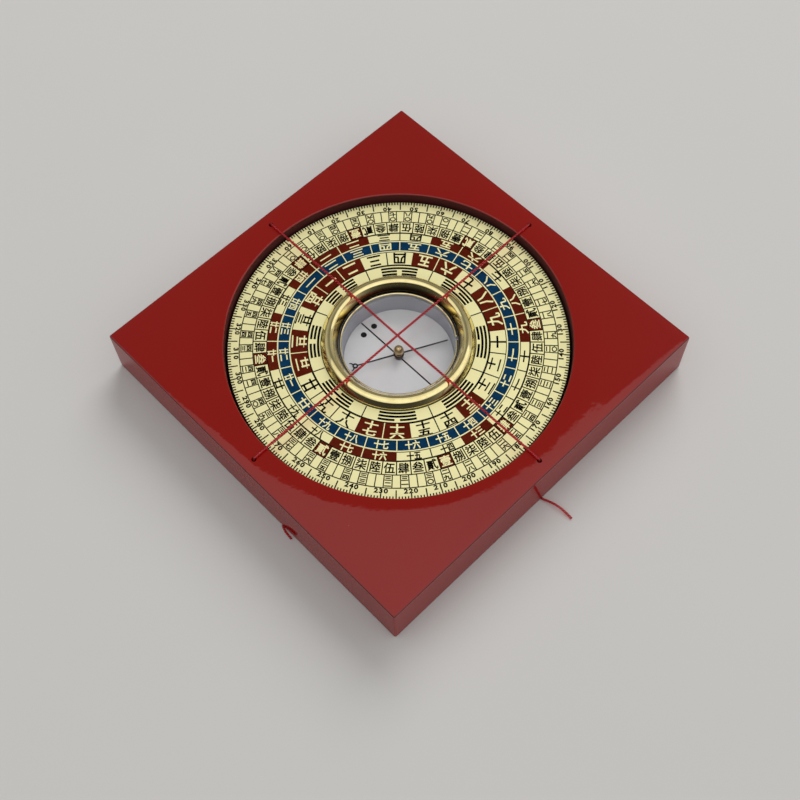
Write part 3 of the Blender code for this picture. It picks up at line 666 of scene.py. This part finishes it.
black_ink = ink("black_ink", (0.008, 0.006, 0.004), (0.002, 0.0017, 0.0014), 0.45)
maroon_ink = ink("maroon_ink", (0.112, 0.013, 0.0050), (0.078, 0.008, 0.0022), 0.38)
blue_ink = ink("blue_ink", (0.0050, 0.040, 0.098), (0.0022, 0.026, 0.066), 0.38)

# %% Flat shapes on the dial


def on_dial(bearing, radius):
    """Places in metres from bearings in degrees and radii in millimetres."""
    turn = np.radians(bearing)
    return np.stack([radius * np.sin(turn), radius * np.cos(turn)], -1) * MM


def band(bearing, inner, outer, closed):
    """Two rows of points at the same bearings, and the quads between them cut into triangles."""
    count = len(bearing)
    j = np.arange(count if closed else count - 1)
    beside = (j + 1) % count
    return (np.vstack([on_dial(bearing, inner), on_dial(bearing, outer)]),
            np.vstack([np.stack([j, j + count, beside], 1),
                       np.stack([beside, j + count, beside + count], 1)]))


def sector(start, end, inner, outer, step=1.5):
    """A cell between two bearings and two radii, in steps of at most step degrees."""
    count = max(1, math.ceil(round((end - start) / step, 6)))
    return band(np.linspace(start, end, count + 1), inner, outer, closed=False)


def ring(radius, width, steps=360):
    """A full circle line."""
    bearing = np.arange(steps) / steps * 360
    return band(bearing, radius - width / 2, radius + width / 2, closed=True)


def spoke(bearing, inner, outer, width):
    """A straight radial line, width millimetres across."""
    way = np.array([math.sin(math.radians(bearing)), math.cos(math.radians(bearing))])
    side = np.array([way[1], -way[0]]) * width / 2
    corners = [way * inner - side, way * inner + side, way * outer + side, way * outer - side]
    return np.array(corners) * MM, np.array([[0, 2, 1], [0, 3, 2]])


# %% A flat shape becomes a film


def anticlockwise(points, triangles):
    """The triangles, those turned over whose (b - a) x (c - a) is negative."""
    a, b, c = (points[triangles[:, k]] for k in range(3))
    turn = (b[:, 0] - a[:, 0]) * (c[:, 1] - a[:, 1]) - (b[:, 1] - a[:, 1]) * (c[:, 0] - a[:, 0])
    return np.where(turn[:, None] < 0, triangles[:, ::-1], triangles)


def rim_of(triangles):
    """The edges that belong to one triangle only, each in its triangle's own direction."""
    edges = np.vstack([triangles[:, [0, 1]], triangles[:, [1, 2]], triangles[:, [2, 0]]])
    key = np.sort(edges, 1) @ [edges.max() + 1, 1]
    first, times = np.unique(key, return_index=True, return_counts=True)[1:]
    return edges[first[times == 1]]


def film(flats, bottom, top):
    """One closed skin over each flat shape: its triangles on top, the same turned over below,
    and a wall under each edge of its rim."""
    vertices, faces, start = [], [], 0
    for points, triangles in flats:
        triangles = anticlockwise(points, triangles)
        rim, count = rim_of(triangles), len(points)
        walls = np.column_stack([rim[:, 0], rim[:, 0] + count, rim[:, 1] + count, rim[:, 1]])
        level = np.ones((count, 1))
        vertices += [np.hstack([points, top * level]), np.hstack([points, bottom * level])]
        faces += (np.concatenate([triangles, triangles[:, ::-1] + count]) + start).tolist()
        faces += (walls + start).tolist()
        start += 2 * count
    return np.vstack(vertices), faces


# %% [markdown]
# ## The print: signs
#
# The rings carry signs in every cell. Here they are plain numbers, counted clockwise from
# north: Chinese numerals in the rings, and degrees in figures round the rim. Blender's own
# font has both. Each sign is made once as a flat text, turned into a mesh, and its points are
# kept in numpy. Placing it then is one formula for all its points at once: its width runs
# along the bearing and its height along the radius, with its top towards the dial's middle.
#
# The font's strokes are too light for this print. A text's Offset would thicken them, but where
# strokes lie close it turns the outline inside out, and it grows with the sign's size. Here a
# strip is laid outside every edge of a placed sign, as wide as the ink spreads; the sign
# itself stays as it is, and strips that meet inside a small gap simply close it.

# %% Signs from the font
signs = {}


def sign(character):
    """A character's points, in em, and triangles; points at one place are made one."""
    if character not in signs:
        words = bpy.data.curves.new("sign", "FONT")
        words.body, words.resolution_u, words.fill_mode = character, 2, "FRONT"
        item = bpy.data.objects.new("sign", words)
        scene.collection.objects.link(item)
        bpy.context.view_layer.update()
        mesh = item.evaluated_get(bpy.context.evaluated_depsgraph_get()).to_mesh()
        signs[character] = merged(mesh, axes=2, digits=5)
        bpy.data.objects.remove(item)
        bpy.data.curves.remove(words)
    return signs[character]


# %% Bolder signs


def bolder(points, triangles, grow):
    """A strip grow metres wide outside every rim edge. A rim point moves by grow times
    2 s / |s|^2, where s is the sum of its two edges' outward unit normals."""
    triangles = anticlockwise(points, triangles)
    rim, count = rim_of(triangles), len(points)
    along = points[rim[:, 1]] - points[rim[:, 0]]
    outward = unit(np.stack([along[:, 1], -along[:, 0]], 1))
    s = np.zeros((count, 2))
    np.add.at(s, rim.ravel(), np.repeat(outward, 2, 0))
    moved = points + grow * 2 * s / np.maximum((s ** 2).sum(1, keepdims=True), 1.0)
    a, b = rim.T
    strips = np.vstack([np.stack([b, a, a + count], 1), np.stack([b, a + count, b + count], 1)])
    return np.vstack([points, moved]), np.vstack([triangles, strips])


def label(text, bearing, radius, width, height, grow=0.0, em=(0.0, 1.0, -0.12, 0.88)):
    """Signs side by side in one place width by height millimetres. A point at share u of the
    width and v of the height goes to bearing - (u - 1/2) width / radius and to radius
    - (v - 1/2) height, so that the signs stand with their tops towards the middle."""
    left, right, low, high = em
    flats = []
    for k, character in enumerate(text):
        points, triangles = sign(character)
        u = (k + (points[:, 0] - left) / (right - left)) / len(text)
        v = (points[:, 1] - low) / (high - low)
        turn = bearing - np.degrees((u - 0.5) * width / radius)
        flats.append(bolder(on_dial(turn, radius - (v - 0.5) * height), triangles, grow * MM))
    return flats


# %% Numerals
PLAIN, FORMAL = "〇一二三四五六七八九", "零壹貳叁肆伍陸柒捌玖"
TENS = ["", "十", "廿"]


def plain_numeral(number):
    """A numeral up to 29: its tens, if any, before its ones, if any."""
    tens, ones = divmod(number, 10)
    return TENS[tens] + (PLAIN[ones] if ones else "")


print([plain_numeral(number) for number in (1, 10, 15, 24)])

# %% [markdown]
# ## The print: rings and cells
#
# From the rim inwards the dial has a degree scale, a ring of 120 narrow cells of which two in
# five are filled, a ring of 64 cells, three rings of 24 cells that are set half a cell apart,
# and the eight trigrams. The middle one of the three rings is blue, and in the other two the
# same cells are maroon. The line between two coloured cells is gold and between two plain ones
# black; where a colour ends, its edge does for a line.

# %% Degree scale
black, maroon, blue, gold_film = [], [], [], []
DIGIT_EM, DIGIT_WIDTH, DIGIT_HEIGHT = (-0.01, 0.57, 0.0, 0.70), 1.14, 1.10
DIGIT_RADIUS, DIGIT_GROW = 39.74, 0.080
FIVE_START, TEN_START, ONE_START, TICK_END, TICK_WIDTH = 39.50, 40.40, 41.04, 41.83, 0.30
black.append(ring(41.86, 0.16))
for degree in range(360):
    start = FIVE_START if degree % 10 == 5 else TEN_START if degree % 10 == 0 else ONE_START
    black.append(spoke(degree, start, TICK_END, TICK_WIDTH))
for degree in range(10, 361, 10):
    text = str(degree)
    black += label(text, degree, DIGIT_RADIUS, DIGIT_WIDTH * len(text), DIGIT_HEIGHT, DIGIT_GROW,
                   DIGIT_EM)
print("degree scale:", len(black), "shapes")

# %% Narrow cells and sixty-four cells
STEP_120, LINES_120, SIGN_120 = 3.0, (35.77, 38.85, 0.25), (1.64, 1.36, 0.075)
STEP_64, LINES_64, SIGN_64 = 5.625, (32.345, 35.53, 0.27), (2.66, 2.86, 0.065)
HALF_FILL_64, FILL_64 = 2.62, (32.36, 35.51)
black += [ring(38.97, 0.25), ring(35.65, 0.25), ring(32.24, 0.22)]
black += [spoke(STEP_120 * (k + 0.5), *LINES_120) for k in range(120)]
black += [spoke(STEP_64 * k, *LINES_64) for k in range(64)]
for k in range(48):
    bearing = 15 * (k // 2) + (STEP_120 if k % 2 else -STEP_120)
    tens, ones = divmod(k + 1, 10)
    for digit, radius in ((tens, 36.54), (ones, 38.06)):
        black += label(PLAIN[digit], bearing, radius, *SIGN_120)
COLOURED_64 = {4, 13, 22, 31, 36, 45, 54, 63}
for k in range(64):
    bearing = STEP_64 * (k + 0.5)
    signs_here = label(FORMAL[(k + 4) % 8 + 1], bearing, 33.94, *SIGN_64)
    if k in COLOURED_64:
        maroon.append(sector(bearing - HALF_FILL_64, bearing + HALF_FILL_64, *FILL_64))
        gold_film += signs_here
    else:
        black += signs_here

# %% Three rings of twenty-four
COLOURED_24 = {23, 0, 1, 4, 5, 7, 8, 12, 15, 16, 20, 21}
HALF_CELL, GOLD_LINE, BLACK_LINE, EDGE_LINE = 7.5, 0.24, 0.27, 0.18


def ring_of_24(offset, inner, outer, middle, width, height, grow, upright, is_blue=False):
    """Cells 15 degrees wide round multiples of 15 degrees plus offset, with their signs. Two
    signs stand one over the other where upright is true, and else side by side."""
    for k in range(24):
        centre = 15 * k + offset
        coloured = is_blue or k in COLOURED_24
        beside = is_blue or (k + 1) % 24 in COLOURED_24
        text = plain_numeral(k + 1)
        if upright and len(text) == 2:
            signs_here = [flat for n, character in enumerate(text) for flat in label(
                character, centre, middle + (n - 0.5) * height / 2, width, height / 2, grow)]
        else:
            signs_here = label(text, centre, middle, width, height, grow)
        (gold_film if coloured else black).extend(signs_here)
        start, end = centre - HALF_CELL, centre + HALF_CELL
        if coloured:
            (blue if is_blue else maroon).append(sector(start, end, inner, outer))
        if coloured and beside:
            gold_film.append(spoke(end, inner, outer, GOLD_LINE))
        elif not coloured and not beside:
            black.append(spoke(end, inner, outer, BLACK_LINE))
        if not coloured:
            black.append(sector(start, end, inner, inner + EDGE_LINE))
            black.append(sector(start, end, outer - EDGE_LINE, outer))


ring_of_24(HALF_CELL, 29.74, 32.155, 30.98, 3.45, 2.25, 0.080, False)
ring_of_24(-HALF_CELL, 26.80, 29.42, 28.12, 3.55, 2.35, 0.070, False, is_blue=True)
ring_of_24(0.0, 22.40, 26.48, 24.42, 3.55, 3.90, 0.095, True)

# %% Trigrams
TRIGRAMS = {0: "---", 45: "=--", 90: "=-=", 135: "==-", 180: "===", 225: "-==", 270: "-=-",
            315: "--="}  # from the rim inwards, = for a whole line and - for a broken one
MARK_RADII, HALF_MARK = (21.45, 20.56, 19.67), 0.28
BROKEN, WHOLE = [(-12.5, -1.75), (1.75, 12.5)], [(-12.5, 12.5)]
# The ring at 18.99 mm, under the bezel's foot, is a painted contact shadow: a black line in ink
# where the bezel meets the sheet.
black += [ring(22.26, 0.30), ring(18.99, 0.22)]
for bearing, marks in TRIGRAMS.items():
    black.append(spoke(bearing + 22.5, 19.2, 22.15, BLACK_LINE))
    for mark, radius in zip(marks, MARK_RADII):
        for start, end in BROKEN if mark == "-" else WHOLE:
            black.append(sector(bearing + start, bearing + end, radius - HALF_MARK,
                                radius + HALF_MARK))

# %% The films go on the dial
SHEET_TOP, COLOUR_THICK, BLACK_THICK, GOLD_TOP = 0.0120, 0.000020, 0.000025, 0.000038
for name, flats, finish, bottom, top in [
        ("maroon_print", maroon, maroon_ink, 0.0, COLOUR_THICK),
        ("blue_print", blue, blue_ink, 0.0, COLOUR_THICK),
        ("black_print_and_painted_shadow", black, black_ink, 0.0, BLACK_THICK),
        ("gold_print", gold_film, sheet, COLOUR_THICK, GOLD_TOP)]:
    add_piece(name, film(flats, SHEET_TOP + bottom, SHEET_TOP + top), finish, "dial")

# %% [markdown]
# ## Brass: bezel, wire and cap
#
# The bezel is turned from brass: a crown over the sheet's inner edge and a skirt below. The
# crown is round on top and falls away as a straight cone on both sides: the inner cone lets
# the wire show, and both mirror the dark end of the room. Its profile carried round the axis,
# with many steps, gives the long smooth highlights that show how round it is. The polish is not
# perfect: rings left by the tool run round the axis, handling has dulled patches, and a few
# dark pits catch dirt. Since the tool marks run round the axis, their noise is read at the
# distance from the axis. Towards the bore the bezel is painted darker, a painted shade for the
# dark band by the wire, and nearest the bore it is black, a painted shadow of the gap there.

# %% Brass finish


def brass(name, light, dark, roughness, pits=0.25, corner=0.0):
    """Polished brass with tool rings, dulled patches and pits; darkened with painted shade over
    the last 0.6 mm outside corner, and black, a painted shadow, nearer to the axis than corner."""
    made = Finish(name, Metallic=1.0)
    reach = made.axis_distance()
    radial = made.node("ShaderNodeCombineXYZ", {}, [reach, 0.0, made.heights()[2]])
    rings = made.noise(0.00012, detail=2, place=radial)
    dull = made.noise(0.0035, detail=5, roughness=0.6)
    pit = made.specks(0.0016, 0.00007, pits)
    colour = made.blend(dull.rise(0.35, 0.75), light, dark)
    colour = made.blend(pit, colour, (0.10, 0.065, 0.025))
    if corner:
        # Painted shade: towards the bore the colour darkens, and nearest it turns black, for the
        # dark band and the shadowed gap by the wire.
        painted_bore_shade, painted_gap_shadow = reach.rise(corner + 0.0006, corner), reach.rise(corner, corner - 0.0002)
        colour = made.blend(painted_bore_shade, colour, (0.22, 0.15, 0.06))
        colour = made.blend(painted_gap_shadow, colour, (0.02, 0.014, 0.006))
    rough = roughness + 0.08 * dull.rise(0.4, 0.8) + 0.03 * rings + 0.3 * pit
    relief = made.bump(rings, 0.0000010, made.bump(1 - pit, 0.000015))
    return made.put(Base_Color=colour, Roughness=rough, Normal=relief)


bezel_brass = brass("polished_brass", (0.97, 0.845, 0.42), (0.86, 0.72, 0.33), 0.05,
                    corner=0.01505)
wire_brass = brass("drawn_brass", (0.97, 0.84, 0.50), (0.84, 0.68, 0.36), 0.07, pits=0.1)
cap_brass = brass("cap_brass", (0.62, 0.46, 0.24), (0.42, 0.30, 0.15), 0.20, pits=0.2)

# %% Bezel
BORE, HALF_WIDTH, RISE, LIP = 0.01475, 0.002075, 0.0023, 0.00008
FOOT, SKIRT, BEZEL_BOTTOM = 0.0121, 0.0156, 0.0099
TOP, OUTER_REACH = FOOT + RISE, CREST_REACH + HALF_WIDTH
INNER_CONE, INNER_ROUNDING = 55, 0.00113
OUTER_CONE, OUTER_ROUNDING, BROW = 54, 0.00160, 0.00015


def rounding(radius, start, end):
    """The crest's arc: its centre is radius below the top, and angles are of the normal."""
    return arc((CREST_REACH, TOP - radius), (radius, radius), start, end, 20)


inner = rounding(INNER_ROUNDING, 90 + INNER_CONE, 90)
outer = rounding(OUTER_ROUNDING, 90, 90 - OUTER_CONE)
cone_foot = inner[0, 1] - (inner[0, 0] - BORE) * math.tan(math.radians(INNER_CONE))
brow = arc((0, 0), (BROW, BROW), 90 - OUTER_CONE, 0, 6) + [OUTER_REACH - BROW, 0]
cone_drop = (brow[0, 0] - outer[-1, 0]) * math.tan(math.radians(OUTER_CONE))
brow[:, 1] += outer[-1, 1] - cone_drop - brow[0, 1]
lip = arc((OUTER_REACH - LIP, FOOT + LIP), (LIP, LIP), 0, -90, 4)
crown = np.vstack([[(BORE, cone_foot)], inner[:-1], outer, brow])
profile = np.vstack([crown, lip, [(SKIRT, FOOT), (SKIRT, BEZEL_BOTTOM), (BORE, BEZEL_BOTTOM)]])
add_piece("turned_bezel", skin(turned(profile, 256), ring=True), bezel_brass, "dial",
          ["bezel_ring"], sharp=30)

# %% Split wire


def split_ring(reach, radius, start, end, height, rows, sides):
    """A bent wire: the ring's angle runs from start to end, the section's all the way round.
    Its ends are rounded off: the radius falls as the root of 1 - s^2 over the last stretch."""
    turn = np.linspace(start, end, rows)
    along = np.minimum(turn - turn[0], turn[-1] - turn) * reach
    s = np.clip(1 - along / (0.5 * radius), 0, 0.98)
    wide = radius * (0.55 + 0.45 * np.sqrt(1 - s ** 2))[:, None]
    a = circle(sides)
    out = reach + wide * np.cos(a)
    return np.stack([out * np.cos(turn)[:, None], out * np.sin(turn)[:, None],
                     height + wide * np.sin(a)], -1)


WIRE_REACH, WIRE_RADIUS, WIRE_LEVEL = 0.014325, 0.000275, 0.011375
SPLIT, SPLIT_LENGTH = math.radians(-39.6), 0.0009
half_gap = SPLIT_LENGTH / WIRE_REACH / 2
wire = split_ring(WIRE_REACH, WIRE_RADIUS, SPLIT + half_gap, SPLIT - half_gap + 2 * math.pi,
                  WIRE_LEVEL, 721, 16)
add_piece("split_wire", skin(wire), wire_brass, "dial", ["retaining_wire"])

# %% [markdown]
# ## The pool
#
# Under the glass is a small moulded cup with a printed card on its floor. The plastic is pale
# grey with a blue cast and the card a little warmer. The cup is turned like the bezel, with a
# small rounding where wall meets floor, as a moulding has. The card has a paper's fibre, and on
# it are printed one black line from north to south and two dots beside its north end.

# %% Cup and card
cup_plastic = Finish("pale_grey_cup")
flow = cup_plastic.noise(0.006, detail=2)
skin_noise = cup_plastic.noise(0.00025, detail=2)
cup_plastic.put(Base_Color=cup_plastic.blend(flow, (0.34, 0.34, 0.385), (0.39, 0.39, 0.435)),
                Roughness=0.38 + 0.12 * flow, Normal=cup_plastic.bump(skin_noise, 0.000002))
INNER, OUTER, FLANGE = 0.0139, 0.0148, 0.0156
FLOOR, CUP_TOP, CUP_BOTTOM, FILLET = 0.0040, 0.0098, 0.0036, 0.00012
FLANGE_THICKNESS, MIDDLE = 0.0006, 0.0001
seam = arc((INNER - FILLET, FLOOR + FILLET), (FILLET, FILLET), -90, 0, 6)
cup_profile = np.vstack([[(MIDDLE, FLOOR)], seam, [
    (INNER, CUP_TOP), (FLANGE, CUP_TOP), (FLANGE, CUP_TOP - FLANGE_THICKNESS),
    (OUTER, CUP_TOP - FLANGE_THICKNESS), (OUTER, CUP_BOTTOM), (MIDDLE, CUP_BOTTOM)]])
add_piece("moulded_cup", skin(turned(cup_profile, 192)), cup_plastic, "dial",
          ["pool_cup"])

card = Finish("white_card", Specular_IOR_Level=0.3)
fibre = card.noise(0.0004, detail=4, roughness=0.6, place=card.stretch(1, 0.3, 1, 0.5))
blotch = card.noise(0.005, detail=3)
card.put(Base_Color=card.blend(blotch, (0.595, 0.586, 0.604), (0.665, 0.655, 0.671)),
         Roughness=0.62 + 0.15 * fibre, Normal=card.bump(fibre, 0.000006))
dress("floor_card", card)

# %% Marks on the card
CARD_TOP, MARK_THICK, LINE_WIDTH, DOT_WIDTH = 0.0043, 0.000015, 0.40, 1.55


def dot(x, y, diameter, steps=28):
    """A round mark: its rim at (x + r cos a, y + r sin a), in triangles round its middle."""
    a = circle(steps)
    rim = np.stack([x + diameter / 2 * np.cos(a), y + diameter / 2 * np.sin(a)], 1)
    j = np.arange(steps)
    return (np.vstack([rim, [(x, y)]]) * MM,
            np.stack([j, (j + 1) % steps, np.full(steps, steps)], 1))


marks = [dot(-1.95, 10.70, DOT_WIDTH), dot(1.65, 10.70, DOT_WIDTH),
         spoke(0.0, 1.08, 13.65, LINE_WIDTH), spoke(180.0, 1.08, 12.9, LINE_WIDTH)]
add_piece("card_marks", film(marks, CARD_TOP, CARD_TOP + MARK_THICK), black_ink, "dial")

# %% [markdown]
# ## Glass
#
# The disc over the pool is plain window glass. A glass shader alone would leave the pool dark,
# for the same reason as with the threads, so it too is swapped for a clear shader for rays
# that ask for a lamp. A trace of handling dulls it in places.

# %% Glass finish
glass = Finish("clear_glass", Base_Color=(0.97, 0.985, 0.98, 1.0), Transmission_Weight=1.0,
               IOR=1.45)
touch = glass.noise(0.006, detail=3)
glass.put(Roughness=0.02 * touch.rise(0.5, 0.8))
clear_to_lamps(glass, (0.95, 0.96, 0.96))
dress("cover_glass", glass)

# %% [markdown]
# ## Needle and pin
#
# The needle is a slim strip of blued steel: a blade that tapers to its point, a hub ring for
# the cap, and a tail that ends in an eye with two horns. It is built of flattened bars along
# lines, each closed at its ends, in the needle's own line and then turned to where it points.
# The cap is a small brass dome, hollow below, that sits on the pin's point.

# %% Steel finishes


def steel(name, light, dark, tint, roughness):
    """Steel with a fine grain and a tint in patches."""
    made = Finish(name, Metallic=0.9)
    grain = made.noise(0.00015, detail=3, place=made.stretch(1, 1, 1, 0.47))
    patch = made.noise(0.0016, detail=3)
    colour = made.blend(patch.rise(0.4, 0.7), made.blend(grain, dark, light), tint)
    return made.put(Base_Color=colour, Roughness=roughness + 0.15 * grain,
                    Normal=made.bump(grain, 0.000002))


blued = steel("blued_steel", (0.040, 0.036, 0.038), (0.014, 0.013, 0.014),
              (0.026, 0.022, 0.028), 0.34)
pin_steel = steel("pin_steel", (0.16, 0.14, 0.13), (0.06, 0.05, 0.05), (0.10, 0.07, 0.05), 0.35)
dress("pivot_pin", pin_steel)

# %% Needle
POINTING, NEEDLE_LEVEL, HALF_THICKNESS = math.radians(-26.9), 0.005625, 0.000125
TIP, HUB, EYE, EYE_INNER, EYE_OUTER = 0.0129, 0.00115, 0.0113, 0.00033, 0.00074
HUB_INNER, HUB_OUTER, POINT_LENGTH = 0.0009, 0.00135, 0.0003
HORN_ROOT, HORN_LEAN, HORN_LENGTH = math.radians(132), math.radians(38), 0.0010
ROOT_HALF, END_HALF, POINT_HALF = 0.00022, 0.00017, 0.00009


def squared(wave, power):
    """A sine or cosine bent towards a square wave: its sign times its size to the power."""
    return np.sign(wave) * np.abs(wave) ** power


def strip(stations, widths, rows=24):
    """A flat bar along straight stations (x, y), its half width and half thickness shrinking
    to a blunt point where widths do."""
    stations, widths = np.asarray(stations, float), np.asarray(widths, float)
    share = np.linspace(0, len(stations) - 1, rows)
    line = np.stack([np.interp(share, range(len(stations)), stations[:, k]) for k in (0, 1)], 1)
    wide = np.interp(share, range(len(stations)), widths)
    way = unit(np.gradient(line, axis=0))
    a = circle(12)
    tall = np.minimum(wide, HALF_THICKNESS)[:, None] * squared(np.sin(a), 0.6)
    side = np.stack([-way[:, 1], way[:, 0]], 1)
    flat = line[:, None] + side[:, None] * (wide[:, None] * squared(np.cos(a), 0.6))[:, :, None]
    return skin(np.concatenate([flat, tall[:, :, None]], 2))


def flat_ring(x, inner, outer, steps):
    """A flat ring round (x, 0): a rounded oblong section, width and height as powers of cos and
    sin, carried round a circle."""
    a = circle(16)
    middle, half = (inner + outer) / 2, (outer - inner) / 2
    section = np.stack([middle + half * squared(np.cos(a), 0.5),
                        HALF_THICKNESS * squared(np.sin(a), 0.5)], 1)
    return skin(turned(section, steps) + [x, 0, 0], ring=True)


def horn(side):
    """A short curved prong from the eye's far side, leaning outwards and tapering."""
    reach = 0.92 * EYE_OUTER
    start = np.array([-EYE + reach * math.cos(HORN_ROOT), reach * math.sin(HORN_ROOT)])
    end = start + HORN_LENGTH * np.array([-math.cos(HORN_LEAN), math.sin(HORN_LEAN)])
    middle = (start + end) / 2 + [0.00012, 0.00010]
    stations = np.array([start, middle, end]) * [1, side]
    return strip(stations, [0.00019, 0.00016, 0.00010], 12)


needle_shape = join(
    strip([(HUB, 0), (TIP - POINT_LENGTH, 0), (TIP, 0)], [ROOT_HALF, END_HALF, POINT_HALF], 31),
    strip([(-HUB, 0), (-(EYE - 0.9 * EYE_OUTER), 0)], [ROOT_HALF, END_HALF]),
    flat_ring(0, HUB_INNER, HUB_OUTER, 56), flat_ring(-EYE, EYE_INNER, EYE_OUTER, 36),
    horn(1), horn(-1))
turn = np.array(Matrix.Rotation(POINTING, 3, "Z"))
needle_shape = (needle_shape[0] @ turn.T + [0, 0, NEEDLE_LEVEL], needle_shape[1])
add_piece("blued_needle", needle_shape, blued, "needle", ["needle"])

# %% Cap
DOME, NECK, CAP_BOTTOM, SHOULDER, CAP_TOP = 0.0013, 0.0008, 0.0054, 0.0071, 0.0090
BRIM_EDGE, MOUTH, ROOF_REACH, ROOF, CENTRE = 0.00006, 0.00055, 0.00015, 0.0086, 0.00001
dome = arc((0, SHOULDER + BRIM_EDGE), (DOME, CAP_TOP - SHOULDER - BRIM_EDGE), 89, 0, 22)
rim = arc((DOME - BRIM_EDGE, SHOULDER + BRIM_EDGE), (BRIM_EDGE, BRIM_EDGE), 0, -90, 4)
cap_profile = np.vstack([dome[:-1], rim, [
    (NECK, SHOULDER), (NECK, CAP_BOTTOM), (MOUTH, CAP_BOTTOM), (ROOF_REACH, ROOF),
    (CENTRE, ROOF)]])
add_piece("domed_cap", skin(turned(cap_profile, 64)), cap_brass, "needle",
          ["needle_cap"])

# %% [markdown]
# ## Floor, room and lamp
#
# The object stands on a plain pale surface that turns up into a low wall all round, a cove, so
# that no horizon shows. The light is a soft room: a bright ceiling that ends at one straight
# edge, a pale window side and dark walls. Each is a smooth lobe over the sky, a times
# e to the power k (cos of the angle from its middle - 1), so the whole room is one short sum.
# Brass needs such a room, because it shows only what it mirrors. A large lamp at one side gives
# the block its soft shadow, and a small one overhead the faint shadows of the threads. Neither
# lamp shows in a mirror. So that the shadow stays deep while the brass stays bright, mirrors
# see the room at a higher level than matt surfaces do.

# %% Floor and wall
floor_paint = Finish("studio_floor", Specular_IOR_Level=0.2)
tone = floor_paint.noise(0.05, detail=3)
floor_paint.put(Base_Color=floor_paint.blend(tone, (0.562, 0.556, 0.546), (0.576, 0.570, 0.561)),
                Roughness=0.7 + 0.1 * tone)


def backdrop(name, profile, steps=96):
    """A turned sheet of the pale material, with its middle closed if it reaches the axis."""
    points = turned(profile, steps)
    faces = grid_faces(*points.shape[:2], ring=False)[:, ::-1].tolist()
    vertices = points.reshape(-1, 3)
    if profile[0][0] < 0.01:
        faces += [[j, (j + 1) % steps, len(vertices)] for j in range(steps)]
        vertices = np.vstack([vertices, [(0.0, 0.0, 0.0)]])
    made = mesh_object(name, vertices, faces, floor_paint)
    return made


FLOOR_REACH, BEND, WALL_TOP = 1.1, 0.4, 0.7
backdrop("floor", [(0.001, 0.0), (0.2, 0.0), (FLOOR_REACH, 0.0)])
wall = backdrop("wall", [*arc((FLOOR_REACH, BEND), (BEND, BEND), -90, 0, 24),
                         (FLOOR_REACH + BEND, WALL_TOP)])
wall.visible_diffuse = wall.visible_glossy = wall.visible_shadow = False

# %% Room
world = bpy.data.worlds.new("soft_room")
world.use_nodes = True
scene.world = world
room = Recipe(world.node_tree)
look = room.node("ShaderNodeTexCoord", output="Generated")


def towards(x, y):
    """The direction whose angle from straight up is the length of (x, y), in degrees."""
    t, a = math.radians(math.hypot(x, y)), math.atan2(y, x)
    return (math.sin(t) * math.cos(a), math.sin(t) * math.sin(a), math.cos(t))


def along_way(direction):
    """The cosine of the angle between the place looked at and a direction."""
    settings = {"operation": "DOT_PRODUCT"}
    return room.node("ShaderNodeVectorMath", settings, [look, direction], "Value")


def lobe(strength, tightness, x, y):
    """strength times e to the power tightness (cos angle - 1)."""
    power = tightness * (along_way(towards(x, y)) - 1)
    return strength * room.node("ShaderNodeMath", {"operation": "EXPONENT"}, [power])


ROOM_LEVEL, SHINE_LEVEL = 0.70, 0.90
DARK_WALLS, CEILING_EDGE = 0.042, (0.5396, 0.7209, -0.4349)
LOBES = [(1.10, 5.0, 82.0, -60.0), (0.325, 23.5, -35.2, 10.4), (0.45, 5.8, -24.0, 58.0),
         (0.36, 18.0, 40.0, -6.5), (0.19, 3.55, 51.4, 41.5)]
inside = along_way(CEILING_EDGE).rise(0.004, -0.004)
above = along_way((0.0, 0.0, 1.0)).rise(0.30, 0.43)
ceiling = lobe(1.165, 1.11, -13.2, -32.9) * inside
light = DARK_WALLS + ceiling * above
for strength, tightness, x, y in LOBES:
    light = light + lobe(strength, tightness, x, y)
background = world.node_tree.nodes["Background"]
background.inputs["Color"].default_value = (1.0, 0.992, 0.98, 1.0)
shine = room.node("ShaderNodeLightPath", output="Is Glossy Ray")
level = ROOM_LEVEL + (SHINE_LEVEL - ROOM_LEVEL) * shine
room.feed(background.inputs["Strength"], level * light)

# %% Lamps


def disk_lamp(name, place, across, energy):
    """A round lamp at a place, as wide as across metres, that faces the origin."""
    data = bpy.data.lights.new(name, "AREA")
    data.shape, data.size, data.energy, data.color = "DISK", across, energy, (1.0, 0.985, 0.96)
    lamp = bpy.data.objects.new(name, data)
    aim = Vector(place).to_track_quat("Z", "Y")
    lamp.matrix_world = Matrix.Translation(place) @ aim.to_matrix().to_4x4()
    scene.collection.objects.link(lamp)
    return lamp


small_lamp = disk_lamp("small_lamp", (-0.075, -0.084, 1.0), 0.11, 0.65)
small_lamp.visible_glossy = False
large_lamp = disk_lamp("large_lamp", (1.346, 0.628, 1.340), 1.44, 23.0)
large_lamp.visible_glossy = large_lamp.visible_transmission = False
scene.view_settings.view_transform = "Standard"
